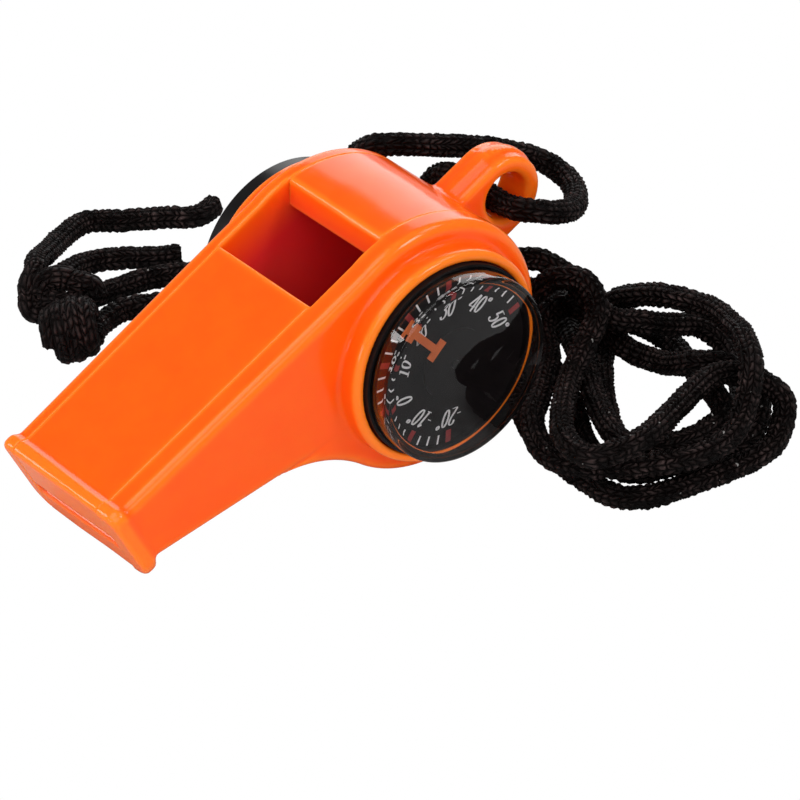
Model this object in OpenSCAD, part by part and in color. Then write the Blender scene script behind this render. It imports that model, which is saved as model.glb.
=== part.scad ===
// Pea whistle with a dial thermometer, a compass and a braided lanyard.
// Millimetres, +Z up, the whistle lying as in use on a table: on its drum and on the bead of its mouth.
// The drum axis runs along Y, the thermometer faces -Y, the mouth points to -X and the eyelet to +X.

/* [Drum and side plates] */
// radius of the drum
barrel_r = 15; // [12:0.5:18]
// thickness of the drum wall round the chamber
drum_wall = 3.2; // [2:0.1:5]
// width over both side plates at the drum
body_w = 21.3; // [18:0.1:27]
// width over both side plates at the mouth
mouth_w = 20.2; // [16:0.1:26]
// thickness of the thermometer side plate
near_cheek_t = 3.15; // [2:0.05:4.5]
// thickness of the compass side plate
far_cheek_t = 2.2; // [1.6:0.05:4]
// rounding of the long outer edges
edge_r = 1.2; // [0.4:0.1:2]

/* [Mouthpiece] */
// drum axis to the back of the mouth bead
duct_len = 38.5; // [32:0.5:46]
// drop of the roof below the top of the drum
roof_drop = 0.1; // [0:0.1:1]
// height of the duct at the bead
mouth_h = 8.5; // [7:0.1:11]
// slope of the underside in degrees
under_angle = 15.7; // [12:0.1:19]
// radius of the hollow between underside and drum
under_fillet_r = 16; // [8:0.5:22]
// length of the mouth bead
bead_len = 1.9; // [1.2:0.1:3]
// how far the bead stands below the underside
bead_down = 2.15; // [0.5:0.05:3]
// how far the bead stands above the roof
bead_up = 0.6; // [0.2:0.05:1.2]
// how far the bead stands out at each side
bead_side = 0.35; // [0.1:0.05:1]
// lower corner radius of the bead
bead_low_r = 3.2; // [1:0.1:4]
// upper corner radius of the bead
bead_top_r = 1.4; // [0.6:0.1:3]
// rounding of the bead front and back
bead_edge = 0.55; // [0.2:0.05:0.6]

/* [Windway and window] */
// window edge nearest the mouth, ahead of the drum axis
window_lead = 8.05; // [6:0.05:9.5]
// blade edge behind the drum axis
blade_x = 1; // [0:0.1:2.5]
// slope of the blade ramp in degrees
blade_angle = 60.8; // [40:0.2:75]
// height of the windway at the mouth
windway_in_h = 1.2; // [0.9:0.1:2]
// height of the windway at the window
windway_out_h = 1.5; // [1:0.1:2]
// lower lip under the windway at the mouth
lip_h = 1.9; // [1:0.1:2.4]
// side walls of the windway
windway_side = 1.1; // [0.6:0.1:2]
// walls round the hollow in the windway floor
pocket_wall = 1.6; // [1:0.1:2.4]

/* [Bezels] */
// outer radius of the bezel
bezel_r = 12.65; // [11.8:0.05:13.6]
// wall of the bezel round the instrument
bezel_wall = 1.15; // [0.7:0.05:1.6]
// height of the bezel over the side plate
bezel_h = 2.85; // [2:0.05:4]
// depth of the seat below the side plate face
seat_depth = 0.75; // [0.3:0.05:1.2]
// rounding of the bezel edge
bezel_edge = 0.8; // [0.3:0.05:1]
// hollow fillet at the foot of the bezel
bezel_foot = 0.6; // [0.2:0.05:1.2]

/* [Instruments] */
// wall of the instrument case
case_wall = 2.1; // [1.6:0.05:2.6]
// floor of the instrument case
case_floor = 0.8; // [0.5:0.05:1.2]
// clearance of a pressed case in its seat
case_fit = 0.1; // [0.05:0.01:0.2]
// height of the case wall over the seat
case_h = 3.1; // [2.6:0.05:3.6]
// thickness of the clear dome
dome_wall = 1; // [0.6:0.05:1.4]
// height of the dome shoulder over the seat
dome_h = 7; // [6.2:0.1:9]
// rise of the dome crown
dome_rise = 1.2; // [0.5:0.05:2.5]
// lip of the case round the dome
case_lip = 0.32; // [0.2:0.01:0.5]
// height of that lip over the thermometer case
case_lip_h = 0.9; // [0.4:0.05:1.4]
// height of that lip over the compass case
compass_lip_h = 3.7; // [2:0.05:3.8]
// thickness of the dial and of the compass card
dial_t = 0.4; // [0.25:0.05:0.7]
// height of the dial underside over the seat
dial_lift = 3.8; // [3.6:0.05:4.6]
// radius of the shaft
shaft_r = 0.5; // [0.4:0.05:0.8]
// running clearance of the shaft and of the pin
run_fit = 0.06; // [0.03:0.01:0.1]
// radius of the hub disc
hub_r = 4.2; // [2:0.1:4.6]
// thickness of the hub disc
hub_t = 0.25; // [0.2:0.05:0.5]
// gap between the dial and the hub
hub_gap = 0.25; // [0.2:0.05:0.6]
// thickness of the pointer
pointer_t = 0.25; // [0.15:0.05:0.4]
// width of the pointer bar
pointer_w = 0.9; // [0.5:0.05:1.4]
// gap between the tip of the pointer and the edge of the dial
pointer_gap = 0.43; // [0.3:0.01:2]
// pointer angle on the dial, 0 towards the eyelet
pointer_angle = 105.5; // [0:0.5:230]
// turns of the thermometer coil
coil_turns = 4; // [3:1:6]
// thickness of the coil strip
coil_t = 0.35; // [0.2:0.05:0.5]
// height of the coil strip
coil_h = 1.2; // [0.6:0.05:1.4]
// length of the compass magnet
magnet_len = 10; // [6:0.5:13]
// width of the compass magnet
magnet_w = 3.6; // [3:0.1:4.5]
// radius of the compass jewel
jewel_r = 1.2; // [1:0.05:1.6]

/* [Eyelet] */
// drum axis to the eyelet hole
eyelet_x = 19.6; // [18:0.1:24]
// drop of the hole below the line of the drum axis
eyelet_drop = 0.4; // [0:0.1:2]
// outer radius of the eyelet
eyelet_r = 4.75; // [4:0.05:6]
// radius of the eyelet hole
eyelet_hole_r = 2.85; // [1.8:0.05:3.6]
// thickness of the eyelet
eyelet_t = 5; // [3.5:0.1:7]
// height of the rib round the middle of the eyelet
eyelet_rib = 0.35; // [0.2:0.05:0.8]
// width of that rib
eyelet_rib_w = 1.6; // [0.8:0.1:3]

/* [Pea and lanyard] */
// radius of the pea
pea_r = 5.4; // [4.5:0.1:5.8]
// clearance of the pea to the chamber wall
pea_fit = 0.25; // [0.1:0.05:0.6]
// diameter of the lanyard
cord_d = 2.7; // [1.8:0.1:2.8]
// gap of the lanyard to the lower side of the eyelet hole
cord_seat = 0.3; // [0.1:0.05:0.6]
// radius of the knot ball
knot_r = 3.6; // [3:0.1:4.2]

/* [Hidden] */
$fn = 96;
eps = 0.01;
far = 60;
chamber_r = barrel_r - drum_wall;
roof_z = barrel_r - roof_drop;
mouth_floor_z = roof_z - mouth_h;
half_drum = body_w / 2;
half_mouth = mouth_w / 2;
taper = (half_drum - half_mouth) / (duct_len - window_lead);
core_near = half_drum - near_cheek_t;
core_far = half_drum - far_cheek_t;
duct_end = duct_len + bead_len;
blade_z = sqrt(chamber_r * chamber_r - blade_x * blade_x);

// underside of the duct: a straight line, then a hollow that meets the drum
under_dir = [cos(under_angle), -sin(under_angle)];
under_out = [-sin(under_angle), -cos(under_angle)];
under_start = [-duct_len, mouth_floor_z];
fillet_from = under_start + under_fillet_r * under_out;
fillet_b = 2 * fillet_from * under_dir;
fillet_k = fillet_from * fillet_from - pow(barrel_r + under_fillet_r, 2);
fillet_run = (-fillet_b - sqrt(fillet_b * fillet_b - 4 * fillet_k)) / 2;
fillet_c = fillet_from + fillet_run * under_dir;
fillet_tan_line = under_start + fillet_run * under_dir;
fillet_tan_drum = fillet_c * barrel_r / (barrel_r + under_fillet_r);

// windway
windway_in_z = mouth_floor_z + lip_h;
windway_out_z = blade_z - windway_out_h / 2;

// mouth bead, its rounding in steps
bead_z0 = mouth_floor_z - bead_down;
bead_z1 = roof_z + bead_up;
bead_half = half_mouth + bead_side;
bead_steps = 5;
function bead_inset(k) = bead_edge * (1 - sin(90 * k / bead_steps));
function bead_reach(k) = bead_len / 2 - bead_edge * (1 - cos(90 * k / bead_steps));
bead_mid = duct_len + bead_len / 2;

// the whistle rolls forward on its drum until the bead rests on the table
function rest_angle(a, z) = asin(barrel_r / sqrt(a * a + z * z)) + atan2(z, a);
pitch = min([for (k = [0:bead_steps]) rest_angle(bead_mid + bead_reach(k), bead_z0 + bead_inset(k))]);
low_x = min([for (k = [0:bead_steps])
    -cos(pitch) * (bead_mid + bead_reach(k)) - sin(pitch) * (bead_z1 - bead_inset(k))]);
eyelet_row_x = cos(pitch) * eyelet_x + sin(pitch) * eyelet_drop;
eyelet_row_z = barrel_r + sin(pitch) * eyelet_x - cos(pitch) * eyelet_drop;
shift_x = -(low_x + eyelet_row_x + eyelet_r) / 2;

// instruments, heights counted outward from the middle of the whistle
seat_y = half_drum - seat_depth;
bezel_top = half_drum + bezel_h;
seat_r = bezel_r - bezel_wall;
case_r = seat_r - case_fit;
case_in = case_r - case_wall;
dome_r = case_r - case_lip - case_fit / 2;
dome_in = dome_r - dome_wall;
case_top = seat_y + case_h;
dome_shoulder = seat_y + dome_h;
crown_r = (dome_r * dome_r + dome_rise * dome_rise) / (2 * dome_rise);
crown_c = dome_shoulder + dome_rise - crown_r;
dial_y = seat_y + dial_lift;
dial_top = dial_y + dial_t;
dial_r = dome_in - case_fit;
dial_seat_r = dome_in - case_fit / 2;
hub_y = dial_top + hub_gap;
pointer_y = hub_y + hub_t;
shaft_top = pointer_y + pointer_t;
case_in_y = seat_y + case_floor;
bearing_h = 1;
bearing_wall = 1.1;
bearing_r = shaft_r + bearing_wall;
inner_gap = 0.1;
coil_lift = 0.3;
coil_y = case_in_y + bearing_h + coil_lift;
sleeve_wall = 0.5;
sleeve_r = shaft_r + sleeve_wall;
coil_gap = 0.15;
coil_in = sleeve_r + coil_gap;
peg_r = 0.8;
peg_inset = 0.1;
coil_out = case_in - 2 * peg_r - peg_inset;
pin_r = 0.45;
pin_tip_h = 0.5;
magnet_t = 0.7;
jewel_y = dial_y - magnet_t;
jewel_h = 1.5;
jewel_bore_h = 0.55;
pin_top = jewel_y + jewel_bore_h - inner_gap;
card_gap = 1;
card_r = dome_in - card_gap;
pointer_lap = 0.8;
pointer_in = hub_r - pointer_lap;
pointer_reach = dial_r - pointer_gap;
crossbar_in = 2.6;
crossbar_out = 2.2;

// the pea lies at the bottom of the chamber as the whistle rests
pea_mid = (core_far - core_near) / 2;
pea_run = chamber_r - pea_r - pea_fit;

// lanyard: points of each strand in the frame of the part, first those that hang on the eyelet
cord_r = cord_d / 2;
cord_sides = 6;
cord_sub = 3;
hole_c = [shift_x + eyelet_row_x, 0, eyelet_row_z];
thread_c = hole_c - [0, 0, eyelet_hole_r - cord_r - cord_seat];
function from_hole(list) = [for (p = list) thread_c + p];
back_route = concat(from_hole([
    [0, 0, 0], [0, 4, 0], [0, 8, -0.5], [0, 11, -3], [0, 12, -6.5], [0, 10.5, -9.5], [0.5, 6.5, -10]]), [
    [30, 1.5, 13], [33.5, -1, 13], [35.5, -4, 11.5], [35.5, -7, 10.5], [36.5, -10, 8.5],
    [39.5, -11.5, 7.5], [43, -12, 6], [47.5, -13, 4.5], [49, -16, 2.5], [47, -20.5, 1.5],
    [43.5, -24.5, 1.5], [38.5, -27, 1.5], [33, -26.5, 1.5], [29.5, -25, 1.5], [28, -22, 1.5],
    [29.5, -18.5, 1.5], [32.5, -14, 1.5], [36, -9.5, 1.5], [38.5, -7, 2], [40, -5.5, 4.5],
    [41, -6, 7], [41.5, -9, 9], [43, -12.5, 10], [45, -17.5, 10], [44, -22.5, 10.5],
    [42, -26.5, 11.5], [39.5, -30.5, 11], [37, -32.5, 8], [33.5, -34, 6], [28, -34, 5.5],
    [22, -30.5, 5], [18, -26, 4.5], [17.5, -21.5, 4], [19.5, -17, 5], [23.5, -13.5, 5],
    [29, -8.5, 5], [30.5, -6.5, 5], [32, -4, 6], [34, -3, 7], [36, -4, 7.5],
    [37.5, -7.5, 6], [38.5, -11.5, 4], [39, -17.5, 5], [39.5, -21.5, 7], [42, -24.5, 7],
    [43, -28, 4], [40, -30.5, 2], [36, -30.5, 1.5], [30.5, -29.5, 1.5], [25.5, -28, 1.5],
    [24, -25, 1.5], [24.5, -20.5, 1.5], [27.5, -15, 1.5], [30.5, -9.5, 1.5], [32, -5, 1.5],
    [34.5, -1.5, 1.5], [38.5, 0, 1.5], [43, -1, 1.5], [45.5, -4.5, 1.5], [46, -9.5, 1.5],
    [44.5, -15, 1.5], [42.5, -20, 2.5], [39.5, -24.5, 4.5], [37, -29, 5], [32.5, -30.5, 5],
    [28, -30, 5], [25, -27.5, 5], [25, -24, 5], [27.5, -18.5, 5], [31, -12.5, 5],
    [34.5, -6.5, 4], [36.5, -3, 4], [38, -0.5, 5], [39, 3, 4], [37.5, 6, 2.5],
    [34.5, 5.5, 1.5], [30.5, 0.5, 1.5], [26.5, -6, 1.5], [22.5, -12.5, 1.5], [20.5, -18.5, 1.5],
    [20, -26, 1.5], [20.5, -30, 1.5], [23.5, -32.5, 1.5], [30, -33.5, 1.5], [36.5, -34.5, 2],
    [40.5, -34, 3], [43, -32, 6], [41, -28.5, 8], [37.5, -26.5, 8.5], [31, -28.5, 8.5],
    [24, -31.5, 9], [20, -31.5, 8.5], [17, -30, 8], [16.5, -27, 8], [19, -22.5, 7.5],
    [25, -16.5, 7.5], [30, -13.5, 9], [33.5, -11.5, 11.5], [34, -8.5, 13.5], [32.5, -5.5, 13],
    [32, -3, 10.5], [33, 0.5, 8.5], [32.5, 3.5, 6.5], [29.5, 6, 4], [25, 9, 2],
    [22, 13.5, 1.5], [18, 21, 1.5], [14, 26.5, 1.5], [8.5, 31.5, 1.5], [2, 34.5, 1.5],
    [-1.5, 34, 1.5], [-4, 32.5, 2], [-5.5, 31, 2]]);
front_route = concat(from_hole([
    [0, 0, 0], [0, -3, 0.2], [0.8, -5.4, 0.6], [3.8, -6.2, -0.4], [7.8, -4.6, -2],
    [11, -1.2, -2.7], [12.4, 2.4, -2.7], [11.4, 5.9, -1.8], [7.9, 8.2, -0.4], [3.8, 9.4, 1],
    [0.2, 10.4, 2], [-3.4, 11.8, 2.8]]), [
    [22, 13.8, 25.2], [21.8, 17, 22.7], [21.8, 19.6, 18.8], [21.6, 21.6, 15], [21.4, 22.4, 10],
    [21, 23.6, 5.2], [20.2, 26.2, 2], [18.4, 30, 1.4], [15.4, 34.2, 1.4], [11.6, 37, 1.4],
    [7.6, 38.6, 1.4], [4, 38.8, 1.5], [0.4, 38.2, 2.2], [-2.4, 36.8, 3.8], [-4.2, 34.8, 5],
    [-5.5, 33.1, 5.2]]);
long_route = [
    [-6.6, 40.4, 6.8], [-4.8, 42.8, 6.4], [-2.6, 45, 5.2], [0.2, 47.6, 3.8], [4.6, 51.2, 2.2],
    [9.4, 53.4, 1.5], [13.2, 51.2, 1.4], [17.2, 48.8, 1.4], [20.8, 46.4, 1.4], [24, 47.2, 1.4]];
short_route = [
    [-5.2, 39.6, 3.8], [-2.8, 41.6, 3.4], [0.6, 44.4, 2.4], [4.6, 45.6, 1.5], [8.2, 44.2, 1.4],
    [11, 42, 1.4], [14, 40.4, 1.4]];
knot_c = [-8, 31.3, 3.7];
knot_turn = [0.2, 6.7, 1.3];
knot_turn_r = 3.3;

function unit(v) = v / norm(v);
function spline_at(k, i, t) =
    let (a = i > 0 ? k[i - 1] : 2 * k[0] - k[1],
         b = k[i],
         c = k[i + 1],
         d = i + 2 < len(k) ? k[i + 2] : 2 * k[i + 1] - k[i])
    0.5 * (2 * b + (c - a) * t + (2 * a - 5 * b + 4 * c - d) * t * t + (3 * b - a - 3 * c + d) * t * t * t);
function spline(k, sub) = concat(
    [for (i = [0:len(k) - 2], s = [0:sub - 1]) spline_at(k, i, s / sub)],
    [k[len(k) - 1]]);
function tangents(p) = [for (i = [0:len(p) - 1])
    unit(p[min(i + 1, len(p) - 1)] - p[max(i - 1, 0)])];
function carry(n, t) = unit(n - (n * t) * t);
function normals(t) = [for (i = 0, n = carry([0.31, 0.17, 0.93], t[0]); i < len(t);
    i = i + 1, n = i < len(t) ? carry(n, t[i]) : n) n];
function ring(p, n, b, r, m) = [for (j = [0:m - 1]) p + r * (cos(360 * j / m) * n + sin(360 * j / m) * b)];

module tube(route, r, m, sub) {
    p = spline(route, sub);
    t = tangents(p);
    n = normals(t);
    q = len(p);
    pts = [for (i = [0:q - 1]) each ring(p[i], n[i], cross(t[i], n[i]), r, m)];
    sides = [for (i = [0:q - 2], j = [0:m - 1])
        [i * m + j, (i + 1) * m + j, (i + 1) * m + (j + 1) % m, i * m + (j + 1) % m]];
    caps = [[for (j = [0:m - 1]) j], [for (j = [m - 1:-1:0]) (q - 1) * m + j]];
    polyhedron(points = pts, faces = concat(sides, caps), convexity = 10);
}

// least gap of a strand to itself, taken between points further apart along it than a tight bend
function least_gap(k, d) =
    let (p = spline(k, 3), skip = 7)
    min([for (i = [0:len(p) - 2 - skip], j = [i + skip:len(p) - 1]) norm(p[i] - p[j])]) - d;
function run_length(k) =
    let (p = spline(k, 3))
    [for (i = 0, s = 0; i < len(p); i = i + 1, s = i < len(p) ? s + norm(p[i] - p[i - 1]) : s) s][len(p) - 1];
echo(pitch = pitch, shift_x = shift_x, hole_c = hole_c);
echo(back_gap = least_gap(back_route, cord_d), back_length = run_length(back_route));
echo(front_gap = least_gap(front_route, cord_d), front_length = run_length(front_route));
echo(tails = [run_length(long_route), run_length(short_route)]);

// placing
module at_rest() {
    translate([shift_x, 0, barrel_r]) rotate([0, -pitch, 0]) children();
}
module near_side() {
    rotate([90, 0, 0]) children();
}
module far_side() {
    rotate([-90, 0, 0]) children();
}
module across(y0, y1) {
    translate([0, y1, 0]) rotate([90, 0, 0]) linear_extrude(height = y1 - y0) children();
}
module along_x(x0, x1) {
    translate([x0, 0, 0]) rotate([90, 0, 90]) linear_extrude(height = x1 - x0) children();
}
module upright() {
    translate([0, 0, -far]) linear_extrude(height = 2 * far) children();
}

// plan outlines, narrowing to the mouth
module plan(near, far_y) {
    run = duct_end + 2 - window_lead;
    x0 = -duct_end - 2;
    polygon([
        [x0, -near + taper * run], [-window_lead, -near], [far, -near],
        [far, far_y], [-window_lead, far_y], [x0, far_y - taper * run]]);
}

// side view outlines
module duct_outline() {
    polygon([[0, roof_z], [-duct_len, roof_z], under_start, fillet_tan_line, [0, 0]]);
    difference() {
        polygon([fillet_tan_line, [0, 0], fillet_tan_drum, fillet_c]);
        translate(fillet_c) circle(r = under_fillet_r);
    }
}
module window_outline() {
    over = barrel_r + 5;
    polygon([
        [-window_lead, chamber_r * 0.45], [-window_lead, over],
        [blade_x + (over - blade_z) / tan(blade_angle), over],
        [blade_x, blade_z], [blade_x, chamber_r * 0.45]]);
}
module windway_outline() {
    run = (windway_out_z - windway_in_z) / (duct_end - window_lead);
    polygon([
        [-duct_end - 1, windway_in_z - run], [-window_lead + eps, windway_out_z],
        [-window_lead + eps, windway_out_z + windway_out_h],
        [-duct_end - 1, windway_in_z + windway_in_h - run]]);
}
module pocket_outline() {
    lift = pocket_wall / cos(under_angle);
    front = under_start + 0.5 * fillet_run * under_dir;
    back_x = -chamber_r;
    slope = (windway_out_z - windway_in_z) / (duct_end - window_lead);
    function floor_z(x) = windway_in_z + slope * (x + duct_end) - pocket_wall;
    difference() {
        polygon([
            [front[0], front[1] + lift], [fillet_tan_line[0], fillet_tan_line[1] + lift],
            [back_x, fillet_tan_line[1] + lift], [back_x, floor_z(back_x)], [front[0], floor_z(front[0])]]);
        circle(r = chamber_r + pocket_wall);
    }
}

// long edges of the duct taken off to a radius
module edge_corner() {
    difference() {
        translate([-1, -edge_r]) square([edge_r + 1, edge_r + 1]);
        translate([edge_r, -edge_r]) circle(r = edge_r);
    }
}
module near_edges() {
    turn = atan(taper);
    translate([-duct_len, -half_mouth, roof_z]) rotate([0, 0, -turn])
        along_x(-1, (duct_len - window_lead) / cos(turn)) edge_corner();
    translate([-window_lead, -half_drum, roof_z]) along_x(-eps, window_lead) edge_corner();
    translate([-duct_len, -half_mouth, mouth_floor_z]) rotate([0, under_angle, -turn])
        mirror([0, 0, 1]) along_x(-1, fillet_run) edge_corner();
}
module rim_outline() {
    square([barrel_r - edge_r, half_drum]);
    square([barrel_r, half_drum - edge_r]);
    translate([barrel_r - edge_r, half_drum - edge_r]) circle(r = edge_r);
}
module bead_outline(inset) {
    w = bead_half - inset;
    z0 = bead_z0 + inset;
    z1 = bead_z1 - inset;
    low = bead_low_r - inset;
    top = max(bead_top_r - inset, 0.2);
    translate([-w + low, z0]) square([2 * (w - low), z1 - top - z0]);
    translate([-w, z0 + low]) square([2 * w, z1 - top - z0 - low]);
    translate([-w + top, z1 - top - eps]) square([2 * (w - top), top + eps]);
    for (s = [-1, 1]) {
        translate([s * (w - low), z0 + low]) circle(r = low);
        translate([s * (w - top), z1 - top]) circle(r = top);
    }
}
module bead() {
    for (k = [0:bead_steps])
        along_x(-bead_mid - bead_reach(k), -bead_mid + bead_reach(k) + eps) bead_outline(bead_inset(k));
}
module outer_form() {
    difference() {
        intersection() {
            across(-half_drum, half_drum) duct_outline();
            upright() plan(half_drum, half_drum);
        }
        near_edges();
        mirror([0, 1, 0]) near_edges();
    }
    near_side() rotate_extrude() rim_outline();
    far_side() rotate_extrude() rim_outline();
    bead();
}
module side_form(inner, outer_y) {
    rotate_extrude() difference() {
        union() {
            translate([0, inner]) square([bezel_r, bezel_top - bezel_edge - inner]);
            translate([0, inner]) square([bezel_r - bezel_edge, bezel_top - inner]);
            translate([bezel_r - bezel_edge, bezel_top - bezel_edge]) circle(r = bezel_edge);
            difference() {
                translate([bezel_r - eps, outer_y - eps]) square(bezel_foot);
                translate([bezel_r + bezel_foot, outer_y + bezel_foot]) circle(r = bezel_foot);
            }
        }
        translate([-1, seat_y]) square([seat_r + 1, far]);
    }
}

module eyelet_outline(r) {
    difference() {
        union() {
            translate([eyelet_x, -eyelet_drop]) circle(r = r);
            translate([barrel_r - drum_wall / 2, -eyelet_drop - r])
                square([eyelet_x - barrel_r + drum_wall / 2, 2 * r]);
        }
        translate([eyelet_x, -eyelet_drop]) circle(r = eyelet_hole_r);
        circle(r = barrel_r - drum_wall / 2);
    }
}

// the body
module body_core() {
    color([0.95, 0.3, 0.05]) at_rest() {
        difference() {
            intersection() {
                outer_form();
                upright() plan(core_near, core_far);
            }
            across(-half_drum, half_drum) {
                circle(r = chamber_r);
                window_outline();
                pocket_outline();
            }
            intersection() {
                across(-half_drum, half_drum) windway_outline();
                upright() plan(core_near - windway_side, core_far - windway_side);
            }
        }
        across(-eyelet_t / 2, eyelet_t / 2) eyelet_outline(eyelet_r);
        across(-eyelet_rib_w / 2, eyelet_rib_w / 2) eyelet_outline(eyelet_r + eyelet_rib);
    }
}
module thermometer_cheek() {
    color([0.95, 0.3, 0.05]) at_rest() {
        difference() {
            outer_form();
            upright() plan(core_near, far);
            near_side() translate([0, 0, seat_y]) cylinder(r = seat_r, h = far);
        }
        near_side() side_form(core_near, half_drum);
    }
}
module compass_cheek() {
    color([0.95, 0.3, 0.05]) at_rest() {
        difference() {
            outer_form();
            upright() plan(far, core_far);
            far_side() translate([0, 0, seat_y]) cylinder(r = seat_r, h = far);
        }
        far_side() side_form(core_far, half_drum);
    }
}
module pea() {
    color([0.75, 0.55, 0.35]) translate([shift_x, pea_mid, barrel_r - pea_run]) sphere(r = pea_r);
}

// instrument pieces that both sides share
module case_outline(lip_h_over) {
    translate([0, seat_y]) square([case_r, case_floor]);
    translate([case_in, seat_y]) square([case_wall, case_h]);
    translate([case_r - case_lip, case_top - eps]) square([case_lip, lip_h_over + eps]);
}
module dome_outline() {
    intersection() {
        difference() {
            union() {
                translate([0, case_top]) square([dome_r, dome_shoulder - case_top]);
                translate([0, crown_c]) circle(r = crown_r);
            }
            intersection() {
                translate([-1, 0]) square([dome_in + 1, far]);
                translate([0, crown_c]) circle(r = crown_r - dome_wall);
            }
        }
        translate([0, case_top]) square([dome_r, far]);
    }
}

// the thermometer
module thermometer_case() {
    color([0.08, 0.08, 0.08]) at_rest() near_side() {
        rotate_extrude() {
            case_outline(case_lip_h);
            translate([case_in, case_top - eps]) square([dial_seat_r - case_in, dial_y - case_top + eps]);
        }
        translate([coil_out + peg_r, 0, case_in_y - eps])
            cylinder(r = peg_r, h = coil_y + coil_h - case_in_y + eps);
    }
}
module thermometer_bearing() {
    color([0.8, 0.65, 0.3]) at_rest() near_side() rotate_extrude()
        translate([shaft_r + run_fit, case_in_y]) square([bearing_r - shaft_r - run_fit, bearing_h]);
}
module thermometer_coil() {
    steps = 20 * coil_turns;
    function spiral(s, off) =
        let (a = 360 * coil_turns * s / steps,
             r = coil_in + (coil_out - coil_t - coil_in) * s / steps + off)
        [r * cos(a), r * sin(a)];
    color([0.7, 0.6, 0.45]) at_rest() near_side() translate([0, 0, coil_y]) linear_extrude(height = coil_h)
        polygon(concat(
            [for (s = [0:steps]) spiral(s, 0)],
            [for (s = [steps:-1:0]) spiral(s, coil_t)]));
}
module thermometer_shaft() {
    color([0.75, 0.75, 0.75]) at_rest() near_side() rotate_extrude() {
        translate([0, case_in_y + inner_gap]) square([shaft_r, shaft_top - case_in_y - inner_gap]);
        translate([0, coil_y]) square([sleeve_r, coil_h]);
    }
}
module thermometer_dial() {
    color([0.1, 0.1, 0.1]) at_rest() near_side() rotate_extrude()
        translate([2 * shaft_r, dial_y]) square([dial_r - 2 * shaft_r, dial_t]);
}
module thermometer_hub() {
    color([0.12, 0.12, 0.12]) at_rest() near_side() rotate_extrude()
        translate([shaft_r, hub_y]) square([hub_r - shaft_r, hub_t]);
}
module thermometer_pointer() {
    color([0.85, 0.35, 0.1]) at_rest() near_side() rotate([0, 0, pointer_angle])
        translate([0, 0, pointer_y]) linear_extrude(height = pointer_t) {
            translate([pointer_in, -pointer_w / 2]) square([pointer_reach - pointer_in, pointer_w]);
            translate([pointer_in, -crossbar_in / 2]) square([pointer_w, crossbar_in]);
            translate([pointer_reach - pointer_w, -crossbar_out / 2]) square([pointer_w, crossbar_out]);
        }
}
module thermometer_dome() {
    color([0.85, 0.9, 0.95, 0.35]) at_rest() near_side() rotate_extrude() dome_outline();
}

// the compass
module compass_case() {
    color([0.08, 0.08, 0.08]) at_rest() far_side() rotate_extrude() case_outline(compass_lip_h);
}
module compass_pin() {
    color([0.75, 0.75, 0.75]) at_rest() far_side() {
        translate([0, 0, case_in_y]) cylinder(r = pin_r, h = pin_top - pin_tip_h - case_in_y);
        translate([0, 0, pin_top - pin_tip_h]) cylinder(r1 = pin_r, r2 = pin_r / 3, h = pin_tip_h);
    }
}
module compass_jewel() {
    color([0.6, 0.1, 0.2]) at_rest() far_side() rotate_extrude() difference() {
        translate([0, jewel_y]) square([jewel_r, jewel_h]);
        translate([-1, jewel_y - 1]) square([1 + pin_r + run_fit, 1 + jewel_bore_h]);
    }
}
module compass_magnet() {
    color([0.35, 0.35, 0.38]) at_rest() far_side() difference() {
        translate([-magnet_len / 2, -magnet_w / 2, dial_y - magnet_t]) cube([magnet_len, magnet_w, magnet_t]);
        translate([0, 0, dial_y - magnet_t - 1]) cylinder(r = jewel_r, h = magnet_t + 2);
    }
}
module compass_card() {
    color([0.92, 0.92, 0.9]) at_rest() far_side() rotate_extrude()
        translate([jewel_r, dial_y]) square([card_r - jewel_r, dial_t]);
}
module compass_dome() {
    color([0.85, 0.9, 0.95, 0.35]) at_rest() far_side() rotate_extrude() dome_outline();
}

// the lanyard
module lanyard_front() {
    color([0.06, 0.06, 0.06]) tube(front_route, cord_r, cord_sides, cord_sub);
}
module lanyard_back() {
    color([0.06, 0.06, 0.06]) tube(back_route, cord_r, cord_sides, cord_sub);
}
module lanyard_knot() {
    color([0.06, 0.06, 0.06]) {
        translate(knot_c) sphere(r = knot_r);
        translate(knot_c + knot_turn) sphere(r = knot_turn_r);
    }
}
module lanyard_tail_long() {
    color([0.06, 0.06, 0.06]) tube(long_route, cord_r, cord_sides, cord_sub);
}
module lanyard_tail_short() {
    color([0.06, 0.06, 0.06]) tube(short_route, cord_r, cord_sides, cord_sub);
}

body_core();
thermometer_cheek();
compass_cheek();
pea();
thermometer_case();
thermometer_bearing();
thermometer_coil();
thermometer_shaft();
thermometer_dial();
thermometer_hub();
thermometer_pointer();
thermometer_dome();
compass_case();
compass_pin();
compass_jewel();
compass_magnet();
compass_card();
compass_dome();
lanyard_front();
lanyard_back();
lanyard_knot();
lanyard_tail_long();
lanyard_tail_short();
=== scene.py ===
"""Visual model of a pea whistle with a dial thermometer, a compass and a braided lanyard.

Sizes are millimetres in the frame of the whistle (drum axis along Y) unless a name says otherwise.
"""
import logging
import math
from dataclasses import dataclass
from enum import Enum
from typing import Any, Sequence

import bmesh
import bpy
import numpy as np
from mathutils import Matrix


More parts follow.
